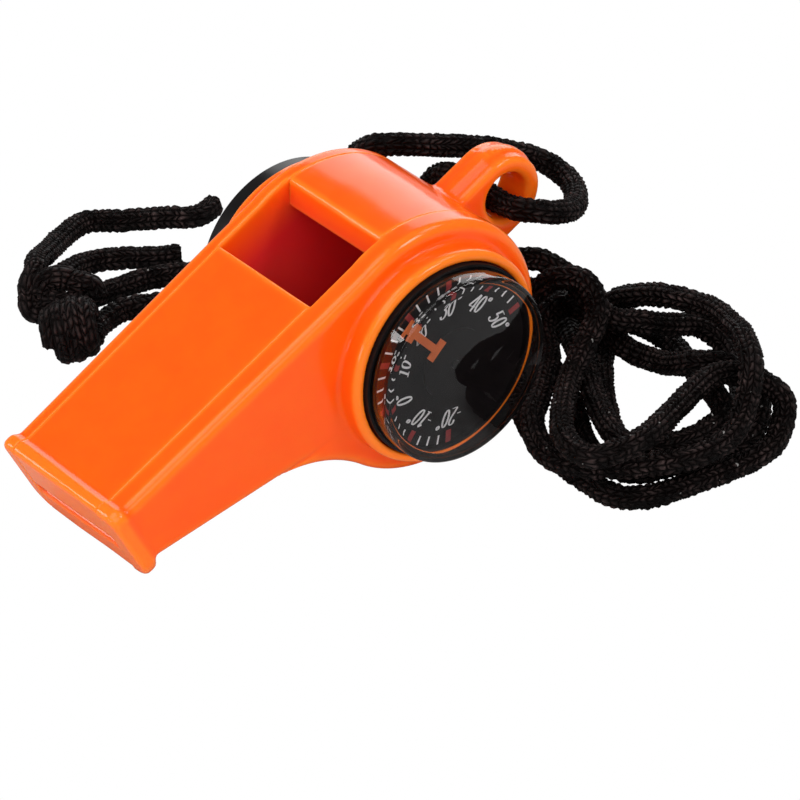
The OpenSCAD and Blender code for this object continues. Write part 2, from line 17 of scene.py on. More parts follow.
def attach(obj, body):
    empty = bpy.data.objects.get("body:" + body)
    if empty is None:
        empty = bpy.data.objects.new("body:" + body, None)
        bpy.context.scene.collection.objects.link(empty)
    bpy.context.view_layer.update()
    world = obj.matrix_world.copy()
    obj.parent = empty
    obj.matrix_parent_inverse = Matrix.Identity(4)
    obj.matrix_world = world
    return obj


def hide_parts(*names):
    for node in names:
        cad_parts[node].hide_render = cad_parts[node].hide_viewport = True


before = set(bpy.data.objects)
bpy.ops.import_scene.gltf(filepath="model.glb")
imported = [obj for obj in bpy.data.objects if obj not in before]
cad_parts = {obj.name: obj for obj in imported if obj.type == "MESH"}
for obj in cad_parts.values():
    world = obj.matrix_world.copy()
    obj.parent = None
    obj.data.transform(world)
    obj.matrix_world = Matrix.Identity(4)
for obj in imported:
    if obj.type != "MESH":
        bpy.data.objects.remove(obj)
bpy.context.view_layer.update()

LOG = logging.getLogger("whistle")
MM = 0.001
WHITE = (1.0, 1.0, 1.0, 1.0)
CORD_PLACE = ("along", "round_cos", "round_sin")
Colour = tuple[float, float, float]
Place = tuple[float, float, float]
Socket = bpy.types.NodeSocket


class Side(Enum):
    """The side of the whistle that an instrument sits on."""

    NEAR = -1
    FAR = 1


class Body(Enum):
    """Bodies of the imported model."""

    WHISTLE = "whistle"
    PEA = "pea"
    POINTER = "pointer"
    CARD = "compass_card"


@dataclass(frozen=True)
class Rest:
    """How the whistle lies on the table: rolled forward on its drum until the mouth bead rests.

    Attributes:
        pitch: lean of the mouthpiece in degrees.
        shift: place of the drum axis along X.
        drum_r: radius of the drum, which is also the height of its axis.
    """

    pitch: float = 27.9772
    shift: float = 10.2519
    drum_r: float = 15.0

    def to_row(self, points: np.ndarray) -> np.ndarray:
        """Moves points of the whistle into the row frame.

        Args:
            points: rows of x, y, z in millimetres, in the whistle's own frame.

        Returns:
            The points in metres, in the row frame.
        """
        cos, sin = math.cos(math.radians(self.pitch)), math.sin(math.radians(self.pitch))
        x, y, z = np.asarray(points, float).T
        row = np.stack([self.shift + cos * x - sin * z, y, self.drum_r + sin * x + cos * z], axis=1)
        return row * MM

    def disc_to_row(self, points: np.ndarray, side: Side) -> np.ndarray:
        """Moves points drawn on an instrument's face into the row frame.

        Args:
            points: rows of x, y on the face as seen by its reader, and height out from the middle.
            side: the side of the whistle that the face looks to.

        Returns:
            The points in metres, in the row frame.
        """
        x, y, h = np.asarray(points, float).T
        return self.to_row(np.stack([x, side.value * h, -side.value * y], axis=1))


REST = Rest()


class Graph:
    """A node tree with short calls to add nodes and to join them."""

    def __init__(self, tree: bpy.types.NodeTree) -> None:
        """Takes the tree to work in."""
        self.tree = tree

    def add(self, kind: str, inputs: dict | None = None, **settings: Any) -> bpy.types.Node:
        """Adds a node.

        Args:
            kind: the node's type.
            inputs: input names or indices, each with a value or with the socket to join.
            settings: properties of the node.

        Returns:
            The new node.
        """
        node = self.tree.nodes.new(kind)
        for key, value in settings.items():
            setattr(node, key, value)
        for key, value in (inputs or {}).items():
            self.feed(node.inputs[key], value)
        return node

    def feed(self, socket: Socket, value: Any) -> None:
        """Joins another socket to an input, or sets its value."""
        if isinstance(value, Socket):
            self.tree.links.new(value, socket)
        else:
            socket.default_value = value

    def math(self, operation: str, a: Any, b: Any = 0.0) -> Socket:
        """Adds a sum of one or two numbers or sockets and returns its result."""
        return self.add("ShaderNodeMath", {0: a, 1: b}, operation=operation).outputs[0]

    def mix(self, factor: Any, a: Any, b: Any) -> Socket:
        """Mixes two colours.

        Args:
            factor: share of the second colour.
            a: first colour or its socket.
            b: second colour or its socket.

        Returns:
            The socket with the result.
        """
        node = self.add("ShaderNodeMix", {0: factor}, data_type="RGBA")
        for socket, value in zip(node.inputs[6:8], (a, b)):
            self.feed(socket, value if isinstance(value, Socket) else (*value, 1.0))
        return node.outputs[2]

    def attribute(self, name: str) -> Socket:
        """Reads a number that the mesh carries under a name."""
        return self.add("ShaderNodeAttribute", attribute_name=name).outputs["Fac"]

    def noise(self, where: Socket, scale: float, detail: float = 2.0) -> Socket:
        """Adds a noise texture and returns its value."""
        node = self.add("ShaderNodeTexNoise", {"Vector": where, "Scale": scale, "Detail": detail})
        return node.outputs[0]

    def level(self, value: Any, low: float, high: float, to_low: Any = 0.0, to_high: Any = 1.0) -> Socket:
        """Maps a range of a value to another range, held at its ends.

        Args:
            value: the value or its socket.
            low: start of its range.
            high: end of its range.
            to_low: result at the start.
            to_high: result at the end.

        Returns:
            The socket with the result.
        """
        keys = ("Value", "From Min", "From Max", "To Min", "To Max")
        node = self.add("ShaderNodeMapRange", dict(zip(keys, (value, low, high, to_low, to_high))))
        return node.outputs[0]


@dataclass(frozen=True)
class Finish:
    """A solid surface: two close colours in a soft grain, with an uneven gloss.

    Attributes:
        name: its slot in the record, or the ink it stands for.
        colour: main colour.
        shade: colour that the grain mixes in.
        roughness: middle of the gloss.
        spread: how far the gloss wanders.
        grain: noise scale per metre.
        relief: height of the grain in metres, 0 for none.
        specular: strength of the reflection.
        metallic: 1 for a metal.
        scatter: share of light that wanders inside the material.
        slot: its slot in the record where that has another name; not used.
    """

    name: str
    colour: Colour
    shade: Colour
    roughness: float = 0.4
    spread: float = 0.06
    grain: float = 260.0
    relief: float = 0.0
    specular: float = 0.5
    metallic: float = 0.0
    scatter: float = 0.0
    slot: str = ""

    def material(self) -> bpy.types.Material:
        """Returns the material, made on first use."""
        label = self.name + "_look"
        made = bpy.data.materials.get(label)
        if made:
            return made
        made = bpy.data.materials.new(label)
        made.use_nodes = True
        made.node_tree.nodes.clear()
        made.diffuse_color = (*self.colour, 1.0)
        self.paint(Graph(made.node_tree))
        return made

    def paint(self, graph: Graph) -> None:
        """Fills the material's tree.

        Args:
            graph: the empty tree.
        """
        where = graph.add("ShaderNodeTexCoord").outputs["Object"]
        cloud = graph.noise(where, self.grain)
        grained = graph.mix(graph.level(cloud, 0.35, 0.7), self.colour, self.shade)
        low, high = self.roughness - self.spread, self.roughness + self.spread
        base = {
            "Base Color": self.tint(graph, grained),
            "Roughness": graph.level(graph.noise(where, self.grain * 1.7), 0.3, 0.7, low, high),
            "Specular IOR Level": self.specular,
            "Metallic": self.metallic,
            "Subsurface Weight": self.scatter,
        }
        shader = graph.add("ShaderNodeBsdfPrincipled", base)
        if self.scatter:
            shader.inputs["Subsurface Radius"].default_value = (1.0, 0.25, 0.05)
            shader.inputs["Subsurface Scale"].default_value = 1.6 * MM
        if self.relief:
            fine = graph.noise(where, self.grain * 9.0)
            bump = graph.add("ShaderNodeBump", {"Height": fine, "Distance": self.relief, "Strength": 1.0})
            graph.feed(shader.inputs["Normal"], bump.outputs[0])
        self.finish(graph, shader.outputs[0])

    def tint(self, graph: Graph, colour: Socket) -> Socket:
        """Changes the colour from place to place; the plain finish leaves it."""
        return colour

    @staticmethod
    def finish(graph: Graph, shader: Socket) -> None:
        """Joins a shader to the material's output."""
        graph.add("ShaderNodeOutputMaterial", {"Surface": shader})


@dataclass(frozen=True)
class GlowFinish(Finish):
    """A moulded plastic with painted light: a painted glow along its edges, where light passes through, and
    painted shade, redder, in its hollows.

    The mesh carries how sharp its edges are, the mask of the painted glow, in the attribute "edge" and how
    deep its hollows are, the mask of the painted shade, in "deep".

    Attributes:
        glow: colour of the painted glow along the edges.
        depth: colour of the painted shade in the hollows.
    """

    glow: Colour = (1.0, 0.2, 0.012)
    depth: Colour = (0.85, 0.025, 0.03)

    def tint(self, graph: Graph, colour: Socket) -> Socket:
        """Mixes the painted glow of the edges and the painted shade of the hollows into the plastic's own
        colour.
        """
        edged = graph.mix(graph.attribute("edge"), colour, self.glow)
        return graph.mix(graph.attribute("deep"), edged, self.depth)


@dataclass(frozen=True)
class ClearFinish(Finish):
    """A clear plastic that lets light through to what lies under it.

    Attributes:
        ior: how strongly it bends light.
    """

    ior: float = 1.49

    def paint(self, graph: Graph) -> None:
        """Fills the tree with a clear shader that casts no shadow.

        Args:
            graph: the empty tree.
        """
        where = graph.add("ShaderNodeTexCoord").outputs["Object"]
        fine = graph.noise(where, self.grain)
        glass = graph.add("ShaderNodeBsdfPrincipled", {
            "Base Color": graph.mix(graph.level(fine, 0.4, 0.7), self.colour, self.shade),
            "Roughness": graph.level(fine, 0.45, 0.75, 0.0, self.spread),
            "IOR": self.ior,
            "Transmission Weight": 1.0,
        })
        open_way = graph.add("ShaderNodeBsdfTransparent", {"Color": (*self.colour, 1.0)})
        path = graph.add("ShaderNodeLightPath")
        mixed = graph.add("ShaderNodeMixShader", {
            0: path.outputs["Is Shadow Ray"], 1: glass.outputs[0], 2: open_way.outputs[0]})
        self.finish(graph, mixed.outputs[0])


@dataclass(frozen=True)
class Stitch:
    """The knitted cover of the cord: columns of V stitches round a tube.

    Attributes:
        columns: columns of stitches round the cord.
        pitch: length of one stitch in metres.
        lean: how far the middle of a V lies behind its ends, in stitches.
        uneven: how far stitches wander, in stitches.
        fall_along: power of a stitch's fall to its ends, rounder when less.
        fall_across: power of its fall to its sides.
        lowest: height of the flattest stitches.
        highest: height of the fullest stitches.
    """

    columns: int = 6
    pitch: float = 0.88 * MM
    lean: float = 0.6
    uneven: float = 1.8
    fall_along: float = 0.9
    fall_across: float = 0.6
    lowest: float = 0.55
    highest: float = 1.25

    def height(self, graph: Graph, along: Socket, cos: Socket, sin: Socket) -> Socket:
        """Height of the cover from 0 in a groove to 1 on a stitch.

        Args:
            graph: the tree to work in, of a material or of geometry.
            along: length along the cord in metres.
            cos: cosine of the place round the cord.
            sin: sine of the place round the cord.

        Returns:
            The socket with the height.
        """
        turn = graph.math("DIVIDE", graph.math("ARCTAN2", sin, cos), 2.0 * math.pi)
        column = graph.math("MULTIPLY", turn, float(self.columns))
        fold = graph.math("ABSOLUTE", graph.math("SUBTRACT", graph.math("FRACT", column), 0.5))
        bent = graph.math("MULTIPLY", fold, 2.0 * self.lean)
        row = graph.math("ADD", graph.math("DIVIDE", along, self.pitch), bent)
        slow = graph.math("DIVIDE", along, 2.0 * self.pitch)
        place = graph.add("ShaderNodeCombineXYZ", {0: slow, 1: cos, 2: sin})
        uneven = graph.noise(place.outputs[0], 1.6, 1.0)
        row = graph.math("ADD", row, graph.math("MULTIPLY", uneven, self.uneven))
        lengthwise = graph.math("ABSOLUTE", graph.math("SINE", graph.math("MULTIPLY", row, math.pi)))
        across = graph.math("ABSOLUTE", graph.math("SINE", graph.math("MULTIPLY", column, 2.0 * math.pi)))
        lengthwise = graph.math("POWER", lengthwise, self.fall_along)
        across = graph.math("POWER", across, self.fall_across)
        bump = graph.math("MULTIPLY", lengthwise, across)
        return graph.math("MULTIPLY", bump, graph.level(uneven, 0.3, 0.7, self.lowest, self.highest))


@dataclass(frozen=True)
class CordFinish(Finish):
    """Black knitted yarn: painted shade, near black, in the grooves, a grey on the stitches that is partly
    the yarn's own and partly painted sheen, and a few painted glints as bright specks.

    Attributes:
        stitch: the knitted cover.
        speck: colour of the painted glints.
        patch_grain: noise scale of duller and brighter patches.
        speck_grain: noise scale of the painted glints.
        speck_rare: noise level from which a painted glint shows, and from which it is full.
    """

    stitch: Stitch = Stitch()
    speck: Colour = (0.25, 0.24, 0.23)
    patch_grain: float = 420.0
    speck_grain: float = 1500.0
    speck_rare: tuple[float, float] = (0.855, 0.885)

    def paint(self, graph: Graph) -> None:
        """Fills the tree with yarn that follows the stitches.

        Args:
            graph: the empty tree.
        """
        where = graph.add("ShaderNodeTexCoord").outputs["Object"]
        height = self.stitch.height(graph, *[graph.attribute(name) for name in CORD_PLACE])
        patch = graph.level(graph.noise(where, self.patch_grain), 0.35, 0.75)
        # Stitch tops keep the yarn's own grey with a painted sheen; the grooves get painted shade, near
        # black.
        lit = graph.math("MULTIPLY", graph.math("POWER", height, 2.0), patch)
        yarn = graph.mix(lit, self.shade, self.colour)
        # A few painted glints, bright specks on the yarn.
        speck = graph.level(graph.noise(where, self.speck_grain, 0.0), *self.speck_rare)
        shader = graph.add("ShaderNodeBsdfPrincipled", {
            "Base Color": graph.mix(speck, yarn, self.speck),
            "Roughness": self.roughness,
            "Specular IOR Level": self.specular,
        })
        bump = graph.add("ShaderNodeBump", {"Height": height, "Distance": self.relief, "Strength": 1.0})
        graph.feed(shader.inputs["Normal"], bump.outputs[0])
        self.finish(graph, shader.outputs[0])


# Orange plastic; its glow and depth colours are the painted glow along its edges and the painted shade in
# its hollows.
ORANGE = GlowFinish("orange_plastic", (1.0, 0.108, 0.003), (1.0, 0.096, 0.003), 0.15,
                    spread=0.02, specular=0.35, scatter=0.3)
BLACK = Finish("black_plastic", (0.006, 0.005, 0.0055), (0.009, 0.008, 0.008), 0.32,
               spread=0.03, specular=0.2)
CLEAR = ClearFinish("clear_plastic", (0.99, 0.99, 0.99), (0.97, 0.97, 0.97), spread=0.0, grain=500.0)
DIAL = Finish("dial_black", (0.006, 0.004, 0.0045), (0.008, 0.006, 0.0065), 0.35, spread=0.0, specular=0.2)
NEEDLE = Finish("pointer_orange", (0.7, 0.15, 0.035), (0.6, 0.11, 0.025), 0.5)
CARD = Finish("card_white", (0.8, 0.79, 0.76), (0.72, 0.71, 0.68), 0.6)
STEEL = Finish("steel", (0.62, 0.61, 0.6), (0.5, 0.5, 0.5), 0.3, metallic=1.0)
BLUED = Finish("steel_blued", (0.012, 0.011, 0.011), (0.02, 0.019, 0.019), 0.4, specular=0.2, slot="steel")
BRASS = Finish("bearing_brass", (0.72, 0.5, 0.2), (0.6, 0.42, 0.16), 0.32, metallic=1.0)
COIL = Finish("coil_metal", (0.6, 0.48, 0.32), (0.5, 0.42, 0.34), 0.3, metallic=1.0)
JEWEL = Finish("jewel_glass", (0.35, 0.02, 0.05), (0.45, 0.03, 0.07), 0.1)
MAGNET = Finish("magnet_iron", (0.16, 0.16, 0.17), (0.1, 0.1, 0.11), 0.5, metallic=0.8)
CORK = Finish("pea_cork", (0.5, 0.3, 0.14), (0.3, 0.16, 0.07), 0.85,
              grain=900.0, relief=0.0001, specular=0.2)
# The cord's colour is its own grey with the painted sheen of the stitch tops; its shade is the painted shade
# of the grooves.
CORD = CordFinish("cord_black", (0.056, 0.036, 0.034), (0.0017, 0.0004, 0.0003), 0.55,
                  relief=0.0003, specular=0.09)
PRINT_WHITE = Finish("print_white", (0.85, 0.82, 0.83), (0.72, 0.7, 0.71), 0.6, grain=1500.0)
PRINT_RED = Finish("print_red", (0.3, 0.02, 0.02), (0.22, 0.012, 0.014), 0.6, grain=1500.0)
PRINT_BLACK = Finish("print_black", (0.02, 0.02, 0.02), (0.03, 0.03, 0.03), 0.6, grain=1500.0)

CAD_FINISH: dict[Finish, Sequence[str]] = {
    CORK: ("pea",),
    BLACK: ("thermometer_case",),
    BRASS: ("thermometer_bearing",),
    COIL: ("thermometer_coil",),
    STEEL: ("compass_pin",),
    BLUED: ("thermometer_shaft",),
    DIAL: ("thermometer_dial", "thermometer_hub"),
    NEEDLE: ("thermometer_pointer",),
    JEWEL: ("compass_jewel",),
    MAGNET: ("compass_magnet",),
    CARD: ("compass_card",),
}


def piece(name: str, points: np.ndarray, faces: Sequence, finish: Finish,
          smooth: bool = True) -> bpy.types.Object:
    """Makes a mesh object at the origin with its place in its vertices.

    Args:
        name: name of the piece.
        points: vertices in metres, in the row frame.
        faces: vertex indices of each face.
        finish: surface of the piece.
        smooth: whether its faces shade smoothly.

    Returns:
        The new object, in the scene.
    """
    mesh = bpy.data.meshes.new(name)
    mesh.from_pydata(np.asarray(points).tolist(), [], np.asarray(faces).tolist() if len(faces) else [])
    mesh.materials.append(finish.material())
    if smooth:
        mesh.shade_smooth()
    made = bpy.data.objects.new(name, mesh)
    bpy.context.scene.collection.objects.link(made)
    return made


def sealed(name: str, points: np.ndarray, faces: Sequence, finish: Finish) -> bpy.types.Object:
    """Makes a piece of mixed faces with flat shading and turns its normals outward.

    Args:
        name: name of the piece.
        points: vertices in metres, in the row frame.
        faces: vertex indices of each face.
        finish: surface of the piece.

    Returns:
        The new object, in the scene.
    """
    made = piece(name, np.zeros((0, 3)), [], finish, smooth=False)
    made.data.from_pydata(points.tolist(), [], faces)
    shape = bmesh.new()
    shape.from_mesh(made.data)
    bmesh.ops.recalc_face_normals(shape, faces=shape.faces)
    shape.to_mesh(made.data)
    shape.free()
    return made


def dress(made: bpy.types.Object, body: Body, slot: str, *nodes: str) -> bpy.types.Object:
    """Hands a piece to the frame and reports it.

    Args:
        made: the piece.
        body: the body that it rides on.
        slot: its slot in the record; not used.
        nodes: the CAD nodes that it stands for.

    Returns:
        The same piece.
    """
    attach(made, body.value)
    if nodes:
        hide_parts(*nodes)
    LOG.info("%s rides on %s with %d faces", made.name, body.value, len(made.data.polygons))
    return made


class GeometryTree:
    """A Geometry Nodes tree with named inputs, run on an object to give a plain mesh."""

    name = "geometry"
    inputs: Sequence[tuple[str, str]] = ()

    def __init__(self) -> None:
        """Makes the tree with its inputs and fills it."""
        self.tree = bpy.data.node_groups.new(self.name, "GeometryNodeTree")
        self.tree.interface.new_socket("Geometry", in_out="INPUT", socket_type="NodeSocketGeometry")
        self.sockets = {
            label: self.tree.interface.new_socket(label, in_out="INPUT", socket_type=kind).identifier
            for label, kind in self.inputs}
        self.tree.interface.new_socket("Geometry", in_out="OUTPUT", socket_type="NodeSocketGeometry")
        graph = Graph(self.tree)
        given = graph.add("NodeGroupInput").outputs
        made = self.build(graph, given)
        coated = graph.add("GeometryNodeSetMaterial", {"Geometry": made, "Material": given["Finish"]})
        graph.add("NodeGroupOutput", {"Geometry": coated.outputs[0]})

    def build(self, graph: Graph, given: Any) -> Socket:
        """Fills the tree from its inputs and returns the geometry it makes."""
        raise NotImplementedError

    def run(self, source: bpy.types.Object, finish: Finish, **values: Any) -> bpy.types.Object:
        """Runs the tree on an object and swaps its mesh for the result.

        Args:
            source: the object whose mesh the tree starts from.
            finish: surface of the result.
            values: the tree's inputs, with spaces in their names as underscores.

        Returns:
            The same object, with the result as its plain mesh.
        """
        modifier = source.modifiers.new(self.name, "NODES")
        modifier.node_group = self.tree
        modifier[self.sockets["Finish"]] = finish.material()
        for label, value in values.items():
            modifier[self.sockets[label.replace("_", " ").capitalize()]] = value
        shown = source.evaluated_get(bpy.context.evaluated_depsgraph_get())
        mesh = bpy.data.meshes.new_from_object(shown)
        source.modifiers.clear()
        source.data = mesh
        mesh.shade_smooth()
        return source


class BraidTree(GeometryTree):
    """Sweeps a knitted cord along a line of points.

    Attributes:
        sunk: height of the cover that lies on the cord's own radius.
    """

    name = "braided_cord"
    sunk = 0.6
    inputs = (
        ("Diameter", "NodeSocketFloat"), ("Relief", "NodeSocketFloat"), ("Spacing", "NodeSocketFloat"),
        ("Sides", "NodeSocketInt"), ("Finish", "NodeSocketMaterial"))

    def __init__(self, stitch: Stitch) -> None:
        """Takes the cover that the cord is knitted in."""
        self.stitch = stitch
        super().__init__()

    def build(self, graph: Graph, given: Any) -> Socket:
        """Sweeps a ring along the line and lifts the stitches.

        Args:
            graph: the tree to fill.
            given: the tree's inputs.

        Returns:
            The cord's geometry.
        """
        line = graph.add("GeometryNodeMeshToCurve", {"Mesh": given["Geometry"]}).outputs[0]
        spaced = {"Curve": line, "Length": given["Spacing"]}
        even = graph.add("GeometryNodeResampleCurve", spaced, mode="LENGTH")
        length = graph.add("GeometryNodeSplineParameter").outputs["Length"]
        spine = self.store(graph, even.outputs[0], "along", length)
        radius = graph.math("MULTIPLY", given["Diameter"], 0.5)
        circle = {"Resolution": given["Sides"], "Radius": radius}
        ring = graph.add("GeometryNodeCurvePrimitiveCircle", circle)
        index = graph.add("GeometryNodeInputIndex").outputs[0]
        turn = graph.math("DIVIDE", graph.math("MULTIPLY", index, 2.0 * math.pi), given["Sides"])
        profile = self.store(graph, ring.outputs[0], "round_cos", graph.math("COSINE", turn))
        profile = self.store(graph, profile, "round_sin", graph.math("SINE", turn))
        swept = {"Curve": spine, "Profile Curve": profile, "Fill Caps": True}
        tube = graph.add("GeometryNodeCurveToMesh", swept)
        read = [graph.add("GeometryNodeInputNamedAttribute", {"Name": name}).outputs[0]
                for name in CORD_PLACE]
        lift = graph.math("SUBTRACT", self.stitch.height(graph, *read), self.sunk)
        lift = graph.math("MULTIPLY", lift, given["Relief"])
        normal = graph.add("GeometryNodeInputNormal").outputs[0]
        offset = graph.add("ShaderNodeVectorMath", {0: normal}, operation="SCALE")
        graph.feed(offset.inputs["Scale"], lift)
        lifted = {"Geometry": tube.outputs[0], "Offset": offset.outputs[0]}
        return graph.add("GeometryNodeSetPosition", lifted).outputs[0]

    @staticmethod
    def store(graph: Graph, geometry: Socket, name: str, value: Socket) -> Socket:
        """Keeps a value on the points of a curve under a name and returns the curve."""
        kept = {"Geometry": geometry, "Name": name, "Value": value}
        return graph.add("GeometryNodeStoreNamedAttribute", kept).outputs[0]


class MarkTree(GeometryTree):
    """Sets a bar at each point of a line, turned as the point's number says: the marks of a dial."""

    name = "dial_marks"
    inputs = (
        ("Count", "NodeSocketInt"), ("Start", "NodeSocketFloat"), ("Step", "NodeSocketFloat"),
        ("Middle", "NodeSocketFloat"), ("Length", "NodeSocketFloat"), ("Width", "NodeSocketFloat"),
        ("Height", "NodeSocketFloat"), ("Every", "NodeSocketInt"), ("Drop", "NodeSocketInt"),
        ("Finish", "NodeSocketMaterial"))

    def build(self, graph: Graph, given: Any) -> Socket:
        """Sets the bars and drops one of every few.

        Args:
            graph: the tree to fill.
            given: the tree's inputs.

        Returns:
            The bars' geometry.
        """
        line = graph.add("GeometryNodeMeshLine", {"Count": given["Count"]}).outputs[0]
        index = graph.add("GeometryNodeInputIndex").outputs[0]
        turn = graph.math("ADD", given["Start"], graph.math("MULTIPLY", index, given["Step"]))
        place = graph.add("ShaderNodeCombineXYZ", {
            0: graph.math("MULTIPLY", graph.math("COSINE", turn), given["Middle"]),
            1: graph.math("MULTIPLY", graph.math("SINE", turn), given["Middle"])})
        points = graph.add("GeometryNodeSetPosition", {"Geometry": line, "Position": place.outputs[0]})
        size = graph.add("ShaderNodeCombineXYZ", {0: given["Length"], 1: given["Width"], 2: given["Height"]})
        bar = graph.add("GeometryNodeMeshCube", {"Size": size.outputs[0]})
        spin = graph.add("ShaderNodeCombineXYZ", {2: turn})
        turn_of = graph.math("MODULO", index, given["Every"])
        chosen = graph.add("FunctionNodeCompare", {2: turn_of, 3: given["Drop"]},
                           data_type="INT", operation="NOT_EQUAL")
        bars = graph.add("GeometryNodeInstanceOnPoints", {
            "Points": points.outputs[0], "Instance": bar.outputs[0], "Rotation": spin.outputs[0],
            "Selection": chosen.outputs[0]})
        return graph.add("GeometryNodeRealizeInstances", {"Geometry": bars.outputs[0]}).outputs[0]


@dataclass(frozen=True)
class CameraRig:
    """The camera of the reference view.

    Attributes:
        place: position in metres.
        right: direction to the right of the picture.
        up: direction to the top of the picture.
        lens: focal length on a 36 mm wide sensor.
    """

    place: Place = (-0.295153, -0.386667, 0.318283)
    right: Place = (0.780595, -0.625037, 0.0)
    up: Place = (0.336912, 0.420762, 0.842289)
    lens: float = 236.28

    def build(self) -> bpy.types.Object:
        """Adds the camera and makes it the scene's own."""
        data = bpy.data.cameras.new("camera")
        data.lens = self.lens
        data.sensor_width = 36.0
        data.clip_start = 0.01
        made = bpy.data.objects.new("camera", data)
        back = np.cross(self.right, self.up)
        columns = np.stack([self.right, self.up, back, self.place], axis=1)
        made.matrix_world = Matrix([*columns.tolist(), [0.0, 0.0, 0.0, 1.0]])
        bpy.context.scene.collection.objects.link(made)
        bpy.context.scene.camera = made
        return made


@dataclass(frozen=True)
class Lamp:
    """A soft box, which doesn't show through the clear domes.

    Attributes:
        name: name of the light.
        place: position in metres.
        aim: point that it looks at.
        size: width and height in metres.
        power: watts.
    """

    name: str
    place: Place
    aim: Place
    size: tuple[float, float]
    power: float

    def build(self) -> bpy.types.Object:
        """Adds the light to the scene."""
        data = bpy.data.lights.new(self.name, "AREA")
        data.shape = "RECTANGLE"
        data.size, data.size_y = self.size
        data.energy = self.power
        made = bpy.data.objects.new(self.name, data)
        made.location = self.place
        made.visible_transmission = False
        look = np.subtract(self.aim, self.place)
        made.rotation_euler = (
            math.atan2(math.hypot(look[0], look[1]), -look[2]), 0.0, math.atan2(-look[0], look[1]))
        bpy.context.scene.collection.objects.link(made)
        return made


@dataclass(frozen=True)
class TableFinish(Finish):
    """A white table: plain white to the camera, dimmer in reflections and through the domes.

    Attributes:
        mirror: its grey in a reflection.
        through: how bright it shows through the domes.
    """

    mirror: float = 0.36
    through: float = 0.006

    def paint(self, graph: Graph) -> None:
        """Fills the tree with a shader for each kind of ray.

        Args:
            graph: the empty tree.
        """
        path = graph.add("ShaderNodeLightPath").outputs
        grey = graph.level(path["Is Glossy Ray"], 0.0, 1.0, self.colour[0], self.mirror)
        shown = graph.add("ShaderNodeBsdfDiffuse", {"Color": grey}).outputs[0]
        for kind, strength in (("Is Transmission Ray", self.through), ("Is Camera Ray", 1.0)):
            glow = graph.add("ShaderNodeEmission", {"Color": WHITE, "Strength": strength}).outputs[0]
            shown = graph.add("ShaderNodeMixShader", {0: path[kind], 1: shown, 2: glow}).outputs[0]
        self.finish(graph, shown)


@dataclass(frozen=True)
class Studio:
    """White table, soft light and a white background.

    Attributes:
        half: half width of the table in metres.
        table: surface of the table.
        ambient: strength of the light from all round.
        room: how bright the room shows in a reflection.
        lamps: the soft boxes.
    """

    half: float = 1.5
    table: TableFinish = TableFinish("table_white", (0.85, 0.85, 0.85), (0.85, 0.85, 0.85))
    ambient: float = 0.55
    room: float = 0.12
    lamps: Sequence[Lamp] = (
        Lamp("key", (0.2, -0.4, 0.47), (0.0, 0.0, 0.01), (0.16, 0.14), 0.8),
        Lamp("fill", (-0.3, -0.42, 0.4), (0.0, 0.0, 0.01), (0.5, 0.4), 0.9),
        Lamp("mouth", (-0.5, 0.02, 0.08), (-0.02, 0.0, 0.01), (0.3, 0.12), 0.4),
        Lamp("top", (-0.28, 0.02, 0.62), (0.0, 0.0, 0.01), (0.5, 0.5), 1.5),
        Lamp("right", (0.33, -0.14, 0.48), (0.0, 0.0, 0.01), (0.16, 0.16), 0.3),
        Lamp("edge", (-0.36, 0.36, 0.2), (0.0, 0.0, 0.02), (0.08, 0.2), 0.35),
        Lamp("back", (0.46, 0.46, 0.25), (0.0, 0.0, 0.02), (0.5, 0.45), 1.55))

    def build(self) -> None:
        """Adds the table, the lights and the world."""
        corner = np.array([[-1, -1, 0], [1, -1, 0], [1, 1, 0], [-1, 1, 0]]) * self.half
        floor = piece("table", corner, [[0, 1, 2, 3]], self.table)
        [lamp.build() for lamp in self.lamps]
        world = bpy.data.worlds.new("studio")
        world.use_nodes = True
        graph = Graph(world.node_tree)
        world.node_tree.nodes.clear()
        path = graph.add("ShaderNodeLightPath").outputs
        strength = graph.level(path["Is Glossy Ray"], 0.0, 1.0, self.ambient, self.room)
        strength = graph.level(path["Is Transmission Ray"], 0.0, 1.0, strength, self.table.through)
        strength = graph.math("MAXIMUM", strength, path["Is Camera Ray"])
        light = graph.add("ShaderNodeBackground", {"Color": WHITE, "Strength": strength})
        graph.add("ShaderNodeOutputWorld", {"Surface": light.outputs[0]})
        bpy.context.scene.world = world
        bpy.context.scene.view_settings.view_transform = "Standard"


